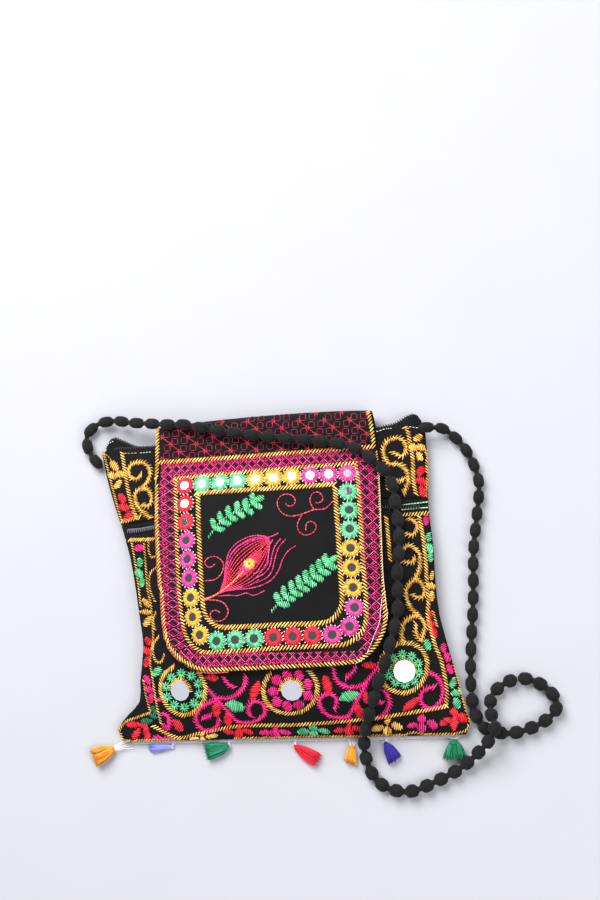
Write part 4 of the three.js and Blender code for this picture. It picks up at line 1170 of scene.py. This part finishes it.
def tassel(name, x, y, heading, length, width, thread):
    """A lying tassel: loose threads out of a bound neck."""
    turn = math.radians(heading)
    ahead = np.array((math.cos(turn), math.sin(turn), 0))
    side = np.array((-ahead[1], ahead[0], 0))
    half = width / 2
    knot = np.array((x, y, half * TASSEL_FLATTEN))
    share = np.linspace(0, 1, TASSEL_STATIONS)
    spread = half * np.interp(share, *TASSEL_SPREAD)
    angle = 2 * np.pi * RNG.random(TASSEL_THREADS)
    out = np.sqrt(RNG.random(TASSEL_THREADS))
    out[:STRAYS["count"]] *= STRAYS["out"]
    shortest, longer = TASSEL_CUT
    cut = shortest + longer * RNG.random(TASSEL_THREADS)
    cut[:STRAYS["count"]] += STRAYS["longer"]
    sway = (RNG.random((TASSEL_THREADS, 1)) - 0.5) * TASSEL_SWAY * np.sin(share * np.pi * TASSEL_BENDS)[None]
    across = out[:, None] * np.cos(angle)[:, None] * spread[None] + sway
    height = out[:, None] * np.sin(angle)[:, None] * spread[None] * TASSEL_FLATTEN
    far = cut[:, None] * share[None] * length
    paths = knot + far[..., None] * ahead + across[..., None] * side + height[..., None] * UP
    paths[..., 2] = np.maximum(paths[..., 2], YARN)
    half_width = YARN * np.interp(share, *YARN_TAPER)
    mesh = strands("tassel_" + name, paths, half_width[None], UP, flatness=1)
    piece(f"tassel_{name}_threads", mesh, THREAD_FINISH[thread], THREADS[thread][2], "tassel_" + name)

    turns = np.linspace(0, 1, BINDING["steps"] * BINDING["turns"])
    place = length * (BINDING["start"] + (BINDING["end"] - BINDING["start"]) * turns)
    girth = half * np.interp(place / length, *TASSEL_NECK) + BINDING["proud"]
    wound = turns * BINDING["turns"] * 2 * np.pi
    binding = (knot + place[:, None] * ahead + (girth * np.cos(wound))[:, None] * side
               + (girth * np.sin(wound) * TASSEL_FLATTEN * BINDING["tall"])[:, None] * UP)
    left, right = braid_ends()
    hem = left + (right - left) * np.clip((knot - left) @ (right - left) / np.sum((right - left) ** 2), 0, 1)
    leans = np.array(TIES)[:, None]
    starts = [knot + ahead * reach + UP * high + side * aside * leans for reach, aside, high in TIE_STARTS]
    stops = [at + side * aside * leans for at, aside in zip(((knot + hem) / 2, hem), TIE_ENDS)]
    ties = np.stack(starts + stops, 1)
    ties[..., 2] = np.maximum(ties[..., 2], LEAST_HEIGHT)
    binding[:, 2] = np.maximum(binding[:, 2], LEAST_HEIGHT)
    wrap = strands("binding", binding[None], BINDING["gauge"], UP, sides=6, flatness=1)
    tied = strands("ties", ties, TIE_GAUGE, UP, flatness=1)
    piece(f"tassel_{name}_binding", wrap, THREAD_FINISH[thread], THREADS[thread][2])
    piece(f"tassel_{name}_ties", tied, THREAD_FINISH["white"], "white_thread")


def braid():
    """The white braid under the hem: three strands over and under each other."""
    left, right = braid_ends()
    length = np.linalg.norm(right - left)
    ahead = (right - left) / length
    side = np.cross(UP, ahead)
    place = np.linspace(0, length, round(length / BRAID["period"]) * BRAID["steps"])
    lines = []
    for strand in range(BRAID["strands"]):
        phase = 2 * np.pi * (place / BRAID["period"] + strand / BRAID["strands"])
        lines.append(left + place[:, None] * ahead + (np.sin(phase) * BRAID["wave"])[:, None] * side
                     + (BRAID["rise"] * np.sin(2 * phase) + BRAID["lift"])[:, None] * UP)
    mesh = strands("braid", np.array(lines), BRAID["gauge"], UP, sides=6, flatness=BRAID["flatness"])
    piece("tassel_braid_strands", mesh, THREAD_FINISH["cord"], "white_thread", "tassel_braid")


# Zips

def coil_along(name, line, finish, *stands_for):
    """A zip's coil: one round nylon thread wound along a line."""
    run = run_along(line)
    place = np.linspace(0, run[-1], round(run[-1] / COIL["pitch"]) * COIL["steps"])
    middle = places(place, run, line)
    ahead = unit(np.gradient(middle, axis=0))
    side = unit(np.cross(ahead, UP))
    above = np.cross(side, ahead)
    turn = 2 * np.pi * place[:, None] / COIL["pitch"]
    path = middle + COIL["wide"] * np.cos(turn) * side + COIL["high"] * np.sin(turn) * above
    mesh = strands(name, path[None], COIL["gauge"], above[None], flatness=1)
    piece(name, mesh, finish, "zip_coil", *stands_for)


def midline(node, bins, pick=None):
    """A line along X through a node: the middle of its points, or those furthest the way of pick."""
    points = node_points(node)
    edges = np.linspace(points[:, 0].min(), points[:, 0].max(), bins + 1)
    line = []
    for low, high in zip(edges - BIN_SLACK, edges[1:] + BIN_SLACK):
        near = points[(points[:, 0] >= low) & (points[:, 0] <= high)]
        if len(near):
            line.append(near.mean(0) if pick is None else near[np.argmax(near @ np.array(pick))])
    return np.array(line)


def zips():
    """Teeth of the pocket's zip, and of the two open halves of the mouth's."""
    pocket = midline("front_zip_coil", POCKET_STEPS)
    coil_along("front_zip_teeth", pocket[:ZIP_SPLIT + 1], COIL_NYLON, "front_zip_coil")
    coil_along("front_zip_teeth_right", pocket[ZIP_SPLIT:], DARK_NYLON)
    for half, inset in MOUTH_INSET.items():
        edge = midline(f"mouth_zip_{half}", MOUTH_STEPS, MOUTH_EDGE)
        coil_along(f"mouth_teeth_{half}", edge - inset, DARK_NYLON)


# Stage

# Brightness of the studio's ceiling from the near side to the window side. Columns: direction's Y, light
CEILING = [(-0.35, 0.9), (-0.15, 0.13), (0.53, 0.13), (0.565, 0.9)]
# On the right the bright end stands back. Values: direction's X where that begins and ends, how far back
STANDS_BACK = (0.108, 0.15, 0.2)
WALLS = 0.6
WALL_TOP, CEILING_EDGE = 0.35, 0.6  # direction's Z where the walls end and the ceiling begins
ROOM_TINT = "#F4F5FB"
# Lamps. Columns: place in metres, size in metres, watts
LAMPS = dict(
    window=((-0.5, 1.0, 1.35), 1.3, 68),
    fill=((0.9, -0.5, 1.2), 1.0, 17),
)
FLOOR_HALF, FLOOR_DROP = 4, 0.0003  # metres


def studio_room():
    """Soft light from all round: pale walls, and a ceiling that is dark between its two bright ends."""
    world = bpy.data.worlds.new("studio")
    bpy.context.scene.world = world
    world.use_nodes = True
    tree = world.node_tree
    tree.nodes.clear()
    way = add(tree, "SeparateXYZ", {"Vector": add(tree, "TexCoord").outputs["Generated"]})
    begins, ends, far = STANDS_BACK
    back = add(tree, "MapRange", {"Value": way.outputs["X"], "From Min": begins, "From Max": ends,
                                  "To Max": far})
    drawn = add(tree, "Math", {0: way.outputs["Y"], 1: back.outputs["Result"]}, operation="SUBTRACT")
    along = add(tree, "MapRange", {"Value": drawn.outputs["Value"], "From Min": -1.0, "From Max": 1.0})
    ceiling = add(tree, "ValToRGB", {"Fac": along.outputs["Result"]})
    stops = ceiling.color_ramp.elements
    while len(stops) < len(CEILING):
        stops.new(0.5)
    for stop, (y, light) in zip(stops, CEILING):
        stop.position = (y + 1) / 2
        stop.color = (light, light, light, 1)
    upwards = add(tree, "MapRange", {"Value": way.outputs["Z"], "From Min": WALL_TOP,
                                     "From Max": CEILING_EDGE})
    room = add(tree, "Mix", {"Factor": upwards.outputs["Result"], "A": (WALLS, WALLS, WALLS, 1),
                             "B": ceiling.outputs["Color"]}, data_type="RGBA")
    tinted = add(tree, "Mix", {"Factor": 1.0, "A": room.outputs["Result"], "B": linear(ROOM_TINT)},
                 data_type="RGBA", blend_type="MULTIPLY")
    sky = add(tree, "Background", {"Color": tinted.outputs["Result"], "Strength": 1.0})
    add(tree, "OutputWorld", {"Surface": sky.outputs["Background"]})


def stage():
    """A pale paper floor under soft studio light: a large window light and a gentle fill."""
    shape = bmesh.new()
    bmesh.ops.create_grid(shape, x_segments=2, y_segments=2, size=FLOOR_HALF)
    bmesh.ops.translate(shape, verts=shape.verts, vec=(0, 0, -FLOOR_DROP))
    mesh = bpy.data.meshes.new("floor")
    shape.to_mesh(mesh)
    shape.free()
    mesh.materials.append(floor_finish())
    floor = bpy.data.objects.new("floor", mesh)
    bpy.context.scene.collection.objects.link(floor)

    for name, (place, size, watts) in LAMPS.items():
        light = bpy.data.lights.new(name, "AREA")
        light.shape = "SQUARE"
        light.size = size
        light.energy = watts
        made = bpy.data.objects.new(name, light)
        made.location = place
        made.rotation_euler = (-Vector(place)).to_track_quat("-Z", "Y").to_euler()
        bpy.context.scene.collection.objects.link(made)

    studio_room()
    bpy.context.scene.view_settings.view_transform = "Standard"


# Cloth pieces: finish, slot, and the flat size in metres before sewing with its area
CLOTH = dict(
    back_panel=(COTTON, "black_cloth", (0.266, 0.222), 0.05),
    front_lower=(COTTON, "black_cloth", (0.255, 0.165), 0.036),
    front_upper=(COTTON, "black_cloth", (0.25, 0.075), 0.0135),
    front_zip_tape=(TAPE, "zip_tape", (0.235, 0.024), 0.0029),
    mouth_zip_front=(TAPE, "zip_tape", (0.235, 0.018), 0.0021),
    mouth_zip_back=(TAPE, "zip_tape", (0.235, 0.018), 0.0021),
    flap=(COTTON, "black_cloth", (0.17, 0.225), 0.033),
)


def main():
    place_camera()
    meshes = {node: cloth_wall(node) for node in CLOTH}
    flap = surface(meshes["flap"])
    mouth = surface(meshes["mouth_zip_front"], meshes["mouth_zip_back"])
    body = surface(meshes["front_lower"], meshes["front_upper"], meshes["front_zip_tape"])
    for node, (finish, slot, flat, area) in CLOTH.items():
        sheet = piece(node + "_cloth", meshes[node], finish, slot, node)
    flap_needlework(flap)
    body_needlework(body)
    for thread, lines in TACKING_PX.items():
        for line in lines:
            run_line("tacking", thread, line, body, **TACK)
    run_line("mouth_teeth", "white", MOUTH_TEETH_PX, mouth, **MOUTH_TEETH)
    for line in ZIP_LINES_PX:
        run_line("zip_lines", "sage", line, body, **ZIP_LINE)
    sewn_pieces()
    for node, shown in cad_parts.items():
        if node.startswith("mirror_"):
            shown.data.materials.clear()
            shown.data.materials.append(MIRROR)
    strap()
    for name, row in TASSELS.items():
        tassel(name, *row)
    braid()
    zips()
    stage()


main()
